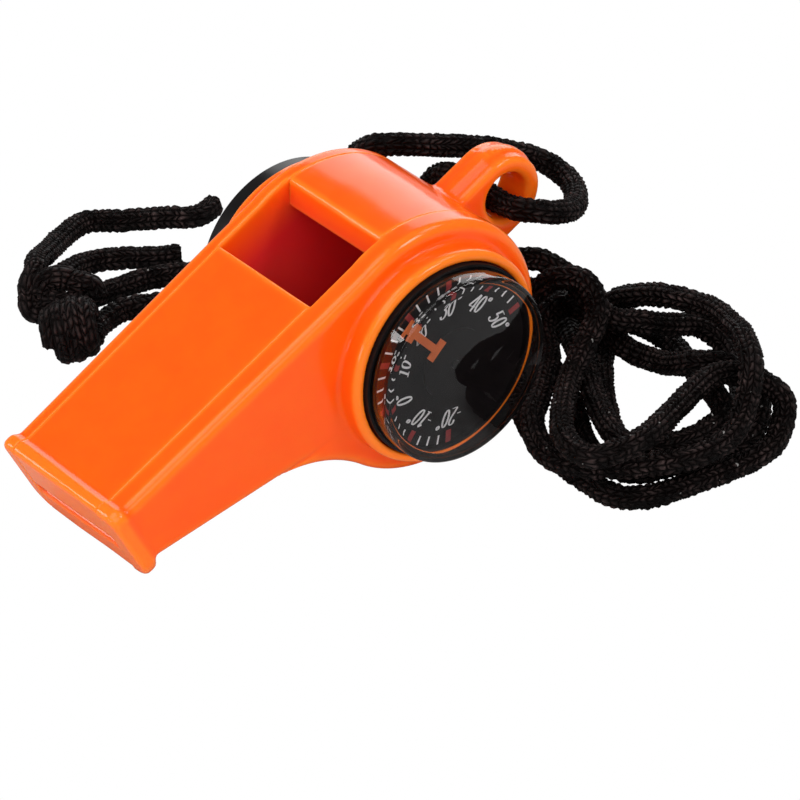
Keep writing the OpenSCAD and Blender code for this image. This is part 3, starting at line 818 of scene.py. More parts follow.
# Where the cord lies in the eyelet, and the points of each strand, the same as in the source of the part
THREAD_C = (27.749, 0.0, 22.6415)
BACK_AT_HOLE = [
    [0, 0, 0], [0, 4, 0], [0, 8, -0.5], [0, 11, -3], [0, 12, -6.5], [0, 10.5, -9.5], [0.5, 6.5, -10]]
BACK_ROUTE = [
    [30, 1.5, 13], [33.5, -1, 13], [35.5, -4, 11.5], [35.5, -7, 10.5], [36.5, -10, 8.5],
    [39.5, -11.5, 7.5], [43, -12, 6], [47.5, -13, 4.5], [49, -16, 2.5], [47, -20.5, 1.5],
    [43.5, -24.5, 1.5], [38.5, -27, 1.5], [33, -26.5, 1.5], [29.5, -25, 1.5], [28, -22, 1.5],
    [29.5, -18.5, 1.5], [32.5, -14, 1.5], [36, -9.5, 1.5], [38.5, -7, 2], [40, -5.5, 4.5],
    [41, -6, 7], [41.5, -9, 9], [43, -12.5, 10], [45, -17.5, 10], [44, -22.5, 10.5],
    [42, -26.5, 11.5], [39.5, -30.5, 11], [37, -32.5, 8], [33.5, -34, 6], [28, -34, 5.5],
    [22, -30.5, 5], [18, -26, 4.5], [17.5, -21.5, 4], [19.5, -17, 5], [23.5, -13.5, 5],
    [29, -8.5, 5], [30.5, -6.5, 5], [32, -4, 6], [34, -3, 7], [36, -4, 7.5],
    [37.5, -7.5, 6], [38.5, -11.5, 4], [39, -17.5, 5], [39.5, -21.5, 7], [42, -24.5, 7],
    [43, -28, 4], [40, -30.5, 2], [36, -30.5, 1.5], [30.5, -29.5, 1.5], [25.5, -28, 1.5],
    [24, -25, 1.5], [24.5, -20.5, 1.5], [27.5, -15, 1.5], [30.5, -9.5, 1.5], [32, -5, 1.5],
    [34.5, -1.5, 1.5], [38.5, 0, 1.5], [43, -1, 1.5], [45.5, -4.5, 1.5], [46, -9.5, 1.5],
    [44.5, -15, 1.5], [42.5, -20, 2.5], [39.5, -24.5, 4.5], [37, -29, 5], [32.5, -30.5, 5],
    [28, -30, 5], [25, -27.5, 5], [25, -24, 5], [27.5, -18.5, 5], [31, -12.5, 5],
    [34.5, -6.5, 4], [36.5, -3, 4], [38, -0.5, 5], [39, 3, 4], [37.5, 6, 2.5],
    [34.5, 5.5, 1.5], [30.5, 0.5, 1.5], [26.5, -6, 1.5], [22.5, -12.5, 1.5], [20.5, -18.5, 1.5],
    [20, -26, 1.5], [20.5, -30, 1.5], [23.5, -32.5, 1.5], [30, -33.5, 1.5], [36.5, -34.5, 2],
    [40.5, -34, 3], [43, -32, 6], [41, -28.5, 8], [37.5, -26.5, 8.5], [31, -28.5, 8.5],
    [24, -31.5, 9], [20, -31.5, 8.5], [17, -30, 8], [16.5, -27, 8], [19, -22.5, 7.5],
    [25, -16.5, 7.5], [30, -13.5, 9], [33.5, -11.5, 11.5], [34, -8.5, 13.5], [32.5, -5.5, 13],
    [32, -3, 10.5], [33, 0.5, 8.5], [32.5, 3.5, 6.5], [29.5, 6, 4], [25, 9, 2],
    [22, 13.5, 1.5], [18, 21, 1.5], [14, 26.5, 1.5], [8.5, 31.5, 1.5], [2, 34.5, 1.5],
    [-1.5, 34, 1.5], [-4, 32.5, 2], [-5.5, 31, 2]]
FRONT_AT_HOLE = [
    [0, 0, 0], [0, -3, 0.2], [0.8, -5.4, 0.6], [3.8, -6.2, -0.4], [7.8, -4.6, -2],
    [11, -1.2, -2.7], [12.4, 2.4, -2.7], [11.4, 5.9, -1.8], [7.9, 8.2, -0.4], [3.8, 9.4, 1],
    [0.2, 10.4, 2], [-3.4, 11.8, 2.8]]
FRONT_ROUTE = [
    [22, 13.8, 25.2], [21.8, 17, 22.7], [21.8, 19.6, 18.8], [21.6, 21.6, 15], [21.4, 22.4, 10],
    [21, 23.6, 5.2], [20.2, 26.2, 2], [18.4, 30, 1.4], [15.4, 34.2, 1.4], [11.6, 37, 1.4],
    [7.6, 38.6, 1.4], [4, 38.8, 1.5], [0.4, 38.2, 2.2], [-2.4, 36.8, 3.8], [-4.2, 34.8, 5],
    [-5.5, 33.1, 5.2]]
LONG_ROUTE = [
    [-6.6, 40.4, 6.8], [-4.8, 42.8, 6.4], [-2.6, 45, 5.2], [0.2, 47.6, 3.8], [4.6, 51.2, 2.2],
    [9.4, 53.4, 1.5], [13.2, 51.2, 1.4], [17.2, 48.8, 1.4], [20.8, 46.4, 1.4], [24, 47.2, 1.4]]
SHORT_ROUTE = [
    [-5.2, 39.6, 3.8], [-2.8, 41.6, 3.4], [0.6, 44.4, 2.4], [4.6, 45.6, 1.5], [8.2, 44.2, 1.4],
    [11, 42, 1.4], [14, 40.4, 1.4]]


def spline(points: Sequence, sub: int) -> np.ndarray:
    """A smooth line through points, as the source of the part draws it.

    Args:
        points: the points that it passes.
        sub: steps from one point to the next.

    Returns:
        The points of the line.
    """
    k = np.asarray(points, float)
    k = np.concatenate([[2 * k[0] - k[1]], k, [2 * k[-1] - k[-2]]])
    a, b, c, d = (k[i:len(k) - 3 + i, None] for i in range(4))
    t = (np.arange(sub) / sub)[None, :, None]
    run = 0.5 * (2 * b + (c - a) * t + (2 * a - 5 * b + 4 * c - d) * t**2 + (3 * b - a - 3 * c + d) * t**3)
    return np.concatenate([run.reshape(-1, 3), k[-2:-1]])


@dataclass(frozen=True)
class Strand:
    """One run of the braided cord.

    Attributes:
        name: name of the piece, the CAD node's own with an ending.
        node: CAD node that it stands for.
        route: points that it passes, in the row frame.
    """

    name: str
    node: str
    route: Sequence

    def line(self) -> np.ndarray:
        """Points along the strand in metres, close together."""
        return spline(self.route, 8) * MM

    def length(self) -> float:
        """Length of the strand in metres."""
        return float(np.linalg.norm(np.diff(self.line(), axis=0), axis=1).sum())


@dataclass(frozen=True)
class Knot:
    """The knot of the two ends: wraps round the strands, the bight of the long tail and a collar.

    Attributes:
        centre: middle of the wraps.
        axis: direction that they wind about.
        turns: number of wraps.
        pitch: distance from one wrap to the next.
        reach: radius of the middle wrap.
        steps: points of each turn.
        bight: points of the tail as it bends into the knot.
        collar: points of the strand that crosses over the top.
        middle: points of the strand inside.
    """

    centre: Place = (-8.0, 31.5, 4.0)
    axis: Place = (0.84, -0.47, 0.25)
    turns: float = 3.6
    pitch: float = 1.3
    reach: float = 2.5
    steps: int = 16
    bight: Sequence[Place] = (
        (-6.5, 40.5, 7), (-8, 39.5, 6.5), (-8.5, 39, 5.5), (-9, 38, 4), (-8, 37, 3.5), (-7, 35.5, 2.5))
    collar: Sequence[Place] = (
        (-3, 33.5, 5.5), (-3, 34.5, 6.5), (-4.5, 36, 7), (-5.5, 37, 7.5), (-7, 38, 7), (-8, 38, 5.5))
    middle: Sequence[Place] = ((-8, 38, 4.5), (-7, 36.5, 5), (-6, 35, 5), (-5, 33.5, 4.5))

    def wraps(self) -> np.ndarray:
        """Points of the winding, drawn in at both ends."""
        along = np.array(self.axis) / np.linalg.norm(self.axis)
        side = np.cross(along, [0.0, 0.0, 1.0])
        side /= np.linalg.norm(side)
        over = np.cross(side, along)
        count = int(self.turns * self.steps) + 1
        turn = np.linspace(0.0, 2 * math.pi * self.turns, count)[:, None]
        reach = self.turns * self.pitch / 2
        step = np.linspace(-reach, reach, count)[:, None]
        radius = self.reach * np.sqrt(1.0 - (step / (reach + 1.0)) ** 2)
        return np.array(self.centre) + step * along + radius * (np.cos(turn) * side + np.sin(turn) * over)

    def lines(self) -> list[np.ndarray]:
        """The runs of cord in the knot, in metres."""
        return [spline(run, 6) * MM for run in (self.wraps(), self.bight, self.collar, self.middle)]


@dataclass(frozen=True)
class Lanyard:
    """The cord: two strands from the eyelet to the knot, the knot and two tails.

    Attributes:
        diameter: thickness of the cord in metres.
        relief: height of a stitch in metres.
        spacing: distance of the tube's rings in metres.
        sides: points of each ring.
        pressed: relief of the knot, where the cord is drawn tight, as a share.
    """

    diameter: float = 2.7 * MM
    relief: float = 0.3 * MM
    spacing: float = 0.2 * MM
    sides: int = 32
    pressed: float = 0.6

    def build(self) -> None:
        tree = BraidTree(CORD.stitch)
        at_hole = [np.add(THREAD_C, np.asarray(part)).tolist() for part in (BACK_AT_HOLE, FRONT_AT_HOLE)]
        back = Strand("lanyard_back_braid", "lanyard_back", at_hole[0] + BACK_ROUTE)
        front = Strand("lanyard_front_braid", "lanyard_front", at_hole[1] + FRONT_ROUTE)
        tails = [Strand("lanyard_tail_long_braid", "lanyard_tail_long", LONG_ROUTE),
                 Strand("lanyard_tail_short_braid", "lanyard_tail_short", SHORT_ROUTE)]
        ends = [self.sweep(tree, tail.name, tail.node, [tail.line()]) for tail in tails]
        ends.append(self.sweep(tree, "lanyard_knot_braid", "lanyard_knot", Knot().lines()))
        for strand, pieces in ((back, ends), (front, [])):
            made = self.sweep(tree, strand.name, strand.node, [strand.line()])
            strand.length()
            strand.line().tolist()
            LOG.info("%s is %.1f mm long", strand.node, strand.length() / MM)

    def sweep(self, tree: BraidTree, name: str, node: str, lines: Sequence[np.ndarray]) -> bpy.types.Object:
        """Makes a braided tube along each of the lines, as one piece.

        Args:
            tree: the tree that sweeps the cord.
            name: name of the piece.
            node: CAD node that it stands for.
            lines: points along each run in metres.

        Returns:
            The new piece.
        """
        source = piece(name, np.concatenate(lines), [], CORD)
        ends = np.cumsum([len(line) for line in lines])
        first = np.setdiff1d(np.arange(ends[-1]), ends - 1)
        source.data.edges.add(len(first))
        source.data.edges.foreach_set("vertices", np.stack([first, first + 1], axis=1).ravel())
        relief = self.relief * (1.0 if len(lines) == 1 else self.pressed)
        tree.run(source, CORD, diameter=self.diameter, relief=relief, spacing=self.spacing, sides=self.sides)
        return dress(source, Body.WHISTLE, "cord_black", node)


def soft_min(a: np.ndarray, b: np.ndarray, k: float) -> np.ndarray:
    """Joins two distance fields with a fillet of about k."""
    h = np.clip(0.5 + 0.5 * (b - a) / k, 0.0, 1.0)
    return b + (a - b) * h - k * h * (1.0 - h)


def soft_max(a: np.ndarray, b: np.ndarray, k: float) -> np.ndarray:
    """Keeps what two distance fields share, with an edge rounded by about k."""
    return -soft_min(-a, -b, k)


def rounded(flat: np.ndarray, depth: np.ndarray, r: float | np.ndarray) -> np.ndarray:
    """Distance to a flat form given a thickness, its edges rounded by r."""
    a, b = flat + r, depth + r
    return np.minimum(np.maximum(a, b), 0.0) + np.hypot(np.maximum(a, 0.0), np.maximum(b, 0.0)) - r


def edge_cells(shape: Sequence[int], axis: int, index: np.ndarray) -> list[np.ndarray]:
    """The four cells round each edge of a grid, in order round it.

    Args:
        shape: points of the grid along each axis.
        axis: direction of the edges.
        index: lower corner of each edge.

    Returns:
        For each of the four cells its number.
    """
    size = np.array(shape) - 1
    b, c = (axis + 1) % 3, (axis + 2) % 3
    cells = []
    for db, dc in ((-1, -1), (0, -1), (0, 0), (-1, 0)):
        cell = index.copy()
        cell[:, b] += db
        cell[:, c] += dc
        cells.append((cell[:, 0] * size[1] + cell[:, 1]) * size[2] + cell[:, 2])
    return cells


def skin(field: np.ndarray, axes: Sequence[np.ndarray]) -> tuple[np.ndarray, np.ndarray]:
    """Meshes the zero level of a distance field with quads.

    Args:
        field: distance at each point of a grid, positive at its borders.
        axes: coordinates of the grid along each axis.

    Returns:
        The points and the quads, wound outward.
    """
    size = np.array(field.shape) - 1
    total = np.zeros((int(size.prod()), 3))
    count = np.zeros(int(size.prod()))
    quads = []
    for axis in range(3):
        low = np.moveaxis(field, axis, 0)[:-1]
        high = np.moveaxis(field, axis, 0)[1:]
        index = np.argwhere(np.moveaxis((low < 0) != (high < 0), 0, axis))
        a = field[tuple(index.T)]
        step = index.copy()
        step[:, axis] += 1
        share = a / (a - field[tuple(step.T)])
        point = np.stack([axes[i][index[:, i]] for i in range(3)], axis=1)
        point[:, axis] += share * (axes[axis][step[:, axis]] - axes[axis][index[:, axis]])
        cells = edge_cells(field.shape, axis, index)
        for cell in cells:
            np.add.at(total, cell, point)
            np.add.at(count, cell, 1.0)
        quad = np.stack(cells, axis=1)
        quads.append(np.where((a < 0)[:, None], quad, quad[:, ::-1]))
    used = count > 0
    number = np.cumsum(used) - 1
    return total[used] / count[used][:, None], number[np.concatenate(quads)]


@dataclass(frozen=True)
class WhistleBody:
    """The moulded body as a distance field: duct, drum, bead, bezels, eyelet, window and chamber.

    Sizes that the source of the part has too carry its names. A name that ends in edge is the rounding of an
    outer edge, and one that ends in blend that of an inner corner.

    Attributes:
        bezel_deep: how far the bezel's ring reaches into the body.
        ear_root: where the eyelet's neck starts, out from the drum's axis.
        window_low: height down to which the window is cut.
        mouth_lap: how far the duct reaches into the bead.
        slot_lap: how far the windway reaches into the window.
        step: how far the core lies below the near plate.
        fade: distance from the middle plane over which that step dies out.
        grid: distance of the grid's points.
        seam_edge: rounding along the near seam.
        tight_edge: rounding along the other seams.
        rim_edge: rounding of the rims of the openings.
        bead_light: how strongly the bead gets the painted glow of the edges.
        slot_deep: share of the painted shade of the hollows that the windway gets.
    """

    barrel_r: float = 15.0
    chamber_r: float = 11.8
    half_drum: float = 10.65
    half_mouth: float = 10.1
    core_near: float = 7.5
    core_far: float = 8.45
    edge_r: float = 1.2
    duct_len: float = 38.5
    roof_z: float = 14.9
    mouth_floor_z: float = 6.4
    under_angle: float = 15.7
    under_fillet_r: float = 16.0
    bead_len: float = 1.9
    bead_z0: float = 4.25
    bead_z1: float = 15.5
    bead_half: float = 10.45
    bead_low_r: float = 3.2
    bead_top_r: float = 1.4
    window_lead: float = 8.05
    blade_x: float = 1.0
    blade_angle: float = 60.8
    windway_in_z: float = 8.3
    windway_in_h: float = 1.2
    windway_out_h: float = 1.5
    windway_side: float = 1.1
    bezel_r: float = 12.65
    bezel_top: float = 13.5
    seat_r: float = 11.5
    seat_y: float = 9.9
    eyelet_x: float = 19.6
    eyelet_drop: float = 0.4
    eyelet_r: float = 4.75
    eyelet_hole_r: float = 2.85
    eyelet_t: float = 5.0
    eyelet_rib: float = 0.35
    eyelet_rib_w: float = 1.6
    bead_edge: float = 0.7
    bead_blend: float = 0.7
    bezel_deep: float = 6.0
    bezel_edge: float = 0.8
    bezel_blend: float = 0.6
    seat_edge: float = 0.35
    ear_root: float = 12.6
    ear_edge: float = 0.7
    ear_rib_edge: float = 0.2
    ear_blend: float = 0.5
    window_low: float = 5.0
    mouth_lap: float = 0.9
    slot_lap: float = 0.5
    step: float = 0.12
    fade: float = 3.0
    grid: float = 0.25
    seam_edge: float = 0.1
    tight_edge: float = 0.02
    rim_edge: float = 0.45
    bead_light: float = 0.75
    slot_deep: float = 0.4

    def axes(self) -> tuple[np.ndarray, np.ndarray, np.ndarray]:
        """Coordinates of the grid, finer across the rims, bezels and seams."""
        x = np.arange(-41.7, 25.8, self.grid)
        z = np.arange(-15.9, 16.8, self.grid)
        marks = (-14.1, -8.7, -7.9, -7.1, 7.9, 8.9, 14.1)
        steps = (0.2, 0.4, 0.1, 0.5, 0.1, 0.2)
        y = np.concatenate([np.arange(a, b - s / 2, s) for a, b, s in zip(marks, marks[1:], steps)])
        return x, y, z

    def outline(self, x: np.ndarray, z: np.ndarray) -> np.ndarray:
        """Side view of duct and drum.

        Args:
            x: places along the duct.
            z: heights.

        Returns:
            The distance to the outline.
        """
        slope = math.radians(self.under_angle)
        run = np.array([math.cos(slope), -math.sin(slope)])
        out = np.array([-math.sin(slope), -math.cos(slope)])
        start = np.array([-self.duct_len, self.mouth_floor_z])
        foot = start + self.under_fillet_r * out
        b = foot @ run
        reach = -b - math.sqrt(b * b - foot @ foot + (self.barrel_r + self.under_fillet_r) ** 2)
        centre = foot + reach * run
        on_drum = centre * self.barrel_r / (self.barrel_r + self.under_fillet_r)
        drum = np.hypot(x, z) - self.barrel_r
        under = (x - start[0]) * out[0] + (z - start[1]) * out[1]
        front = -x - self.duct_len - self.mouth_lap + 0 * z
        duct = np.maximum.reduce([z - self.roof_z + 0 * x, front, under, x + 0 * z])
        corners = [start + reach * run, centre, on_drum, np.zeros(2)]
        sides = []
        for p, q in zip(corners, corners[1:] + corners[:1]):
            edge = (q - p) / np.linalg.norm(q - p)
            sides.append((x - p[0]) * edge[1] - (z - p[1]) * edge[0])
        hollow = self.under_fillet_r - np.hypot(x - centre[0], z - centre[1])
        web = np.maximum.reduce([*sides, hollow])
        return np.minimum.reduce([drum, duct, web])

    def bead(self, x: np.ndarray, y: np.ndarray, z: np.ndarray) -> np.ndarray:
        """The rounded rim of the mouth.

        Args:
            x: places along the duct.
            y: places across it.
            z: heights.

        Returns:
            The distance to the bead.
        """
        middle = (self.bead_z0 + self.bead_z1) / 2
        half = (self.bead_z1 - self.bead_z0) / 2
        r = np.where(z > middle, self.bead_top_r, self.bead_low_r)
        flat = rounded(np.abs(y) - self.bead_half, np.abs(z - middle) - half, r)
        depth = np.abs(x + self.duct_len + self.bead_len / 2) - self.bead_len / 2
        return rounded(flat, depth, self.bead_edge)

    def cavity(self, x: np.ndarray, y: np.ndarray, z: np.ndarray) -> np.ndarray:
        """Chamber, window and windway.

        Args:
            x: places along the duct.
            y: places across it.
            z: heights.

        Returns:
            The distance to the hollows.
        """
        across = np.maximum(-y - self.core_near, y - self.core_far)
        blade_z = math.sqrt(self.chamber_r**2 - self.blade_x**2)
        slope = math.radians(self.blade_angle)
        ramp = (x - self.blade_x) * math.sin(slope) - (z - blade_z) * math.cos(slope)
        window = np.maximum(np.maximum(-x - self.window_lead, ramp), self.window_low - z)
        chamber = np.hypot(x, z) - self.chamber_r
        out_z = blade_z - self.windway_out_h / 2
        end = self.duct_len + self.bead_len
        share = (x + end) / (end - self.window_lead)
        low = self.windway_in_z + share * (out_z - self.windway_in_z)
        tall = self.windway_in_h + share * (self.windway_out_h - self.windway_in_h)
        slot = np.maximum(np.maximum(low - z, z - low - tall), x + self.window_lead - self.slot_lap)
        inset = across + self.windway_side
        return np.minimum(np.maximum(np.minimum(chamber, window), across), np.maximum(slot, inset))

    def field(self) -> tuple[np.ndarray, np.ndarray, Sequence[np.ndarray], np.ndarray]:
        """Distance to the whole body on the grid.

        Returns:
            The field of the outside, the field of the hollows, the grid's axes, and for each x how far y is
            drawn in.
        """
        xs, ys, zs = self.axes()
        x, z = xs[:, None, None], zs[None, None, :]
        taper = (self.half_drum - self.half_mouth) / (self.duct_len - self.window_lead)
        half = self.half_drum - taper * np.clip(-self.window_lead - x, 0.0, None)
        y = ys[None, :, None] * half / self.half_drum
        flat = self.outline(xs[:, None], zs[None, :])[:, None, :]
        whole = rounded(flat, np.abs(y) - half, self.edge_r)
        whole = soft_min(whole, self.bead(x, y, z), self.bead_blend)
        off_axis = np.hypot(x, z)
        for sign in (-1, 1):
            out = sign * y
            ring = np.abs(out - self.bezel_top + self.bezel_deep / 2) - self.bezel_deep / 2
            boss = rounded(off_axis - self.bezel_r, ring, self.bezel_edge)
            whole = soft_min(whole, boss, self.bezel_blend)
            seat = np.maximum(off_axis - self.seat_r, self.seat_y - out)
            whole = soft_max(whole, -seat, self.seat_edge)
        u, v = x - self.eyelet_x, z + self.eyelet_drop
        for r, wide, edge in ((self.eyelet_r, self.eyelet_t, self.ear_edge),
                              (self.eyelet_r + self.eyelet_rib, self.eyelet_rib_w, self.ear_rib_edge)):
            neck = np.maximum(np.maximum(np.abs(v) - r, u), self.ear_root - x)
            ear = np.maximum(np.minimum(np.hypot(u, v) - r, neck), self.eyelet_hole_r - np.hypot(u, v))
            ear = rounded(ear, np.abs(y) - wide / 2, edge) - self.step
            whole = soft_min(whole, ear, self.ear_blend)
        return whole, self.cavity(x, y, z), (xs, ys, zs), half[:, 0, 0] / self.half_drum

    def mark_hollows(self, mesh: bpy.types.Mesh, points: np.ndarray) -> None:
        """Keeps on each vertex the mask of the painted shade in the hollows: how deep it lies in the window
        and the chamber, from 0 to 1.

        Args:
            mesh: mesh of a piece.
            points: its vertices in the whistle's own frame.
        """
        x, y, z = points.T
        inside = np.clip(1.0 - self.cavity(x, y, z) / 0.5, 0.0, 1.0)
        # Painted shade grows deeper below the roof; the windway gets only a share of it.
        below = np.clip((self.roof_z - 0.6 - z) / 5.0, 0.0, 1.0)
        below *= np.where(x > -self.window_lead - 0.6, 1.0, self.slot_deep)
        mesh.attributes.new("deep", "FLOAT", "POINT").data.foreach_set("value", inside * below)

    def mark_edges(self, mesh: bpy.types.Mesh, points: np.ndarray) -> None:
        """Keeps on each vertex the mask of the painted glow: how sharply the surface turns outward there,
        from 0 to 1.

        The bead gets the painted glow too.

        Args:
            mesh: mesh of a piece.
            points: its vertices in the whistle's own frame.
        """
        count = len(mesh.vertices)
        place, normal = np.empty(count * 3), np.empty(count * 3)
        mesh.vertices.foreach_get("co", place)
        mesh.vertices.foreach_get("normal", normal)
        ends = np.empty(len(mesh.edges) * 2, int)
        mesh.edges.foreach_get("vertices", ends)
        a, b = ends.reshape(-1, 2).T
        place, normal = place.reshape(-1, 3) / MM, normal.reshape(-1, 3)
        gap = place[b] - place[a]
        bend = ((normal[b] - normal[a]) * gap).sum(axis=1) / np.maximum((gap**2).sum(axis=1), 1e-6)
        joined = np.bincount(a, minlength=count) + np.bincount(b, minlength=count)
        value = (np.bincount(a, bend, count) + np.bincount(b, bend, count)) / joined
        value = np.clip((value - 0.12) / 0.5, 0.0, 1.0)
        for _ in range(3):
            near = np.bincount(a, value[b], count) + np.bincount(b, value[a], count)
            value = 0.5 * value + 0.5 * near / joined
        # Painted glow on the mouth bead, up to bead_light.
        bead = np.clip((-self.duct_len - points[:, 0]) / 0.8, 0.0, self.bead_light)
        mesh.attributes.new("edge", "FLOAT", "POINT").data.foreach_set("value", np.maximum(value, bead))

    def build(self) -> None:
        """Makes the core and the two side plates."""
        whole, hollow, axes, drawn = self.field()
        seams = {
            "body_core": np.maximum(-axes[1] - self.core_near, axes[1] - self.core_far),
            "thermometer_cheek": axes[1] + self.core_near,
            "compass_cheek": self.core_far - axes[1]}
        for node, seam in seams.items():
            fade = np.clip((self.fade - axes[1]) / (2 * self.fade), 0.0, 1.0)[None, :, None]
            outside = whole + self.step * fade if node == "body_core" else whole
            part = soft_max(outside, -hollow, self.rim_edge)
            edge = self.seam_edge if node == "thermometer_cheek" else self.tight_edge
            part = soft_max(part, np.broadcast_to(seam[None, :, None], whole.shape), edge)
            points, quads = skin(part, axes)
            points[:, 1] *= np.interp(points[:, 0], axes[0], drawn)
            made = piece(node + "_skin", REST.to_row(points), quads, ORANGE)
            # Masks of the painted glow along the edges and of the painted shade in the hollows.
            self.mark_edges(made.data, points)
            self.mark_hollows(made.data, points)
            dress(made, Body.WHISTLE, "orange_plastic", node)


# Signs in a box half as wide as high: widths, rings by middle and radii, and the points of each stroke
CELLS = {"-": 0.36, "°": 0.34}
RINGS = {
    "0": ((0.25, 0.5, 0.19, 0.46),),
    "8": ((0.25, 0.74, 0.16, 0.22), (0.25, 0.27, 0.19, 0.24)),
    "°": ((0.17, 0.88, 0.09, 0.085),),
}
STROKES = {
    "1": (((0.27, 0.04), (0.27, 0.96)), ((0.1, 0.03), (0.44, 0.03)), ((0.1, 0.8), (0.27, 0.96))),
    "2": (((0.07, 0.74), (0.1, 0.9), (0.24, 0.97), (0.38, 0.9), (0.42, 0.74), (0.36, 0.55), (0.2, 0.3),
           (0.06, 0.06)),
          ((0.06, 0.05), (0.44, 0.05))),
    "3": (((0.08, 0.8), (0.14, 0.93), (0.26, 0.97), (0.38, 0.9), (0.41, 0.76), (0.34, 0.6), (0.2, 0.53)),
          ((0.2, 0.53), (0.36, 0.47), (0.44, 0.3), (0.4, 0.13), (0.26, 0.03), (0.12, 0.07), (0.06, 0.2))),
    "4": (((0.38, 0.0), (0.38, 0.97)), ((0.36, 0.97), (-0.02, 0.3)), ((-0.02, 0.28), (0.52, 0.28))),
    "5": (((0.14, 0.95), (0.42, 0.95)), ((0.13, 0.95), (0.1, 0.53)),
          ((0.1, 0.53), (0.22, 0.6), (0.36, 0.55), (0.44, 0.36), (0.38, 0.13), (0.24, 0.03), (0.1, 0.08),
           (0.06, 0.18))),
    "6": (((0.38, 0.9), (0.28, 0.96), (0.14, 0.8), (0.07, 0.5), (0.07, 0.3), (0.12, 0.1), (0.25, 0.03)),
          ((0.25, 0.03), (0.38, 0.1), (0.43, 0.3), (0.38, 0.5), (0.25, 0.56), (0.1, 0.42))),
    "7": (((0.06, 0.95), (0.44, 0.95)), ((0.44, 0.95), (0.3, 0.6), (0.2, 0.3), (0.16, 0.02))),
    "9": (((0.12, 0.1), (0.22, 0.04), (0.36, 0.2), (0.43, 0.5), (0.43, 0.7), (0.38, 0.9), (0.25, 0.97)),
          ((0.25, 0.97), (0.12, 0.9), (0.07, 0.7), (0.12, 0.5), (0.25, 0.44), (0.4, 0.58))),
    "-": (((0.05, 0.42), (0.3, 0.42)),),
}


@dataclass(frozen=True)
class Pen:
    """Writes condensed, slanted numbers with a broad pen: thick down strokes and thin turns.

    Attributes:
        tall: height of a number.
        narrow: width of a sign as a share of its drawing.
        slant: lean to the right per height.
        thin: width of a stroke that runs across, per height.
        thick: width of a stroke that runs up, per height.
        ink: half the thickness of the print.
        cell: width of a sign that has none of its own, per height.
        ring_points: points of a ring.
        curve_steps: steps from one point of a stroke to the next.
    """

    tall: float = 2.15
    narrow: float = 0.86
    slant: float = 0.3
    thin: float = 0.045
    thick: float = 0.12
    ink: float = 0.01
    cell: float = 0.54
    ring_points: int = 25
    curve_steps: int = 5

    def write(self, label: str) -> list[tuple[np.ndarray, list[list[int]]]]:
        """Draws a label about its middle.

        Args:
            label: digits, a minus or a degree sign.

        Returns:
            For each stroke its points in millimetres and its faces.
        """
        cells = [CELLS.get(sign, self.cell) for sign in label]
        left = -sum(cells) / 2
        strokes = []
        for sign, cell in zip(label, cells):
            for run in self.runs(sign):
                up = run[:, 1] - 0.5
                line = np.stack([(run[:, 0] + left) * self.narrow + self.slant * up, up], axis=1)
                strokes.append(self.stroke(line, 0.2 * self.ink * len(strokes)))
            left += cell
        return strokes

    def runs(self, sign: str) -> list[np.ndarray]:
        """The middle lines of a sign.

        Args:
            sign: a digit, a minus or a degree sign.

        Returns:
            The points of each line, in a box half as wide as high.
        """
        turn = np.linspace(0.0, 2 * math.pi, self.ring_points)
        circle = np.stack([np.cos(turn), np.sin(turn)], axis=1)
        rings = [np.array([x, y]) + circle * [wide, high] for x, y, wide, high in RINGS.get(sign, ())]
        flat = [np.pad(line, ((0, 0), (0, 1))) for line in STROKES.get(sign, ())]
        return rings + [spline(line, self.curve_steps)[:, :2] for line in flat]

    def stroke(self, line: np.ndarray, lift: float) -> tuple[np.ndarray, list[list[int]]]:
        """A flat bar along a line, as wide as the pen is across its direction.

        Args:
            line: points of its middle, per height.
            lift: how far it lies above the first stroke.

        Returns:
            Its points in millimetres and its faces.
        """
        way = np.gradient(line, axis=0)
        way /= np.linalg.norm(way, axis=1, keepdims=True)
        wide = self.thin + (self.thick - self.thin) * np.abs(way[:, 1:])
        side = np.stack([-way[:, 1], way[:, 0]], axis=1) * wide / 2
        corners = [(1, 1), (-1, 1), (-1, -1), (1, -1)]
        rows = [np.column_stack([(line + a * side) * self.tall, np.full(len(line), lift + h * self.ink)])
                for a, h in corners]
        points = np.stack(rows, axis=1).reshape(-1, 3)
        faces = [[4 * i + j, 4 * i + (j + 1) % 4, 4 * i + 4 + (j + 1) % 4, 4 * i + 4 + j]
                 for i in range(len(line) - 1) for j in range(4)]
        last = 4 * len(line) - 4
        return points, faces + [[3, 2, 1, 0], [last, last + 1, last + 2, last + 3]]


@dataclass(frozen=True)
class Bars:
    """A row of equal marks round a face.

    Attributes:
        name: name of the piece.
        finish: ink.
        count: number of places.
        step: degrees from one place to the next.
        middle: radius of their middles.
        length: length of a mark outward.
        width: width of a mark.
        every: number of places after which the row repeats.
        drop: the place in each repeat that stays empty, or none if it is past the last.
    """

    name: str
    finish: Finish
    count: int
    step: float
    middle: float
    length: float
    width: float
    every: int = 1
    drop: int = 1


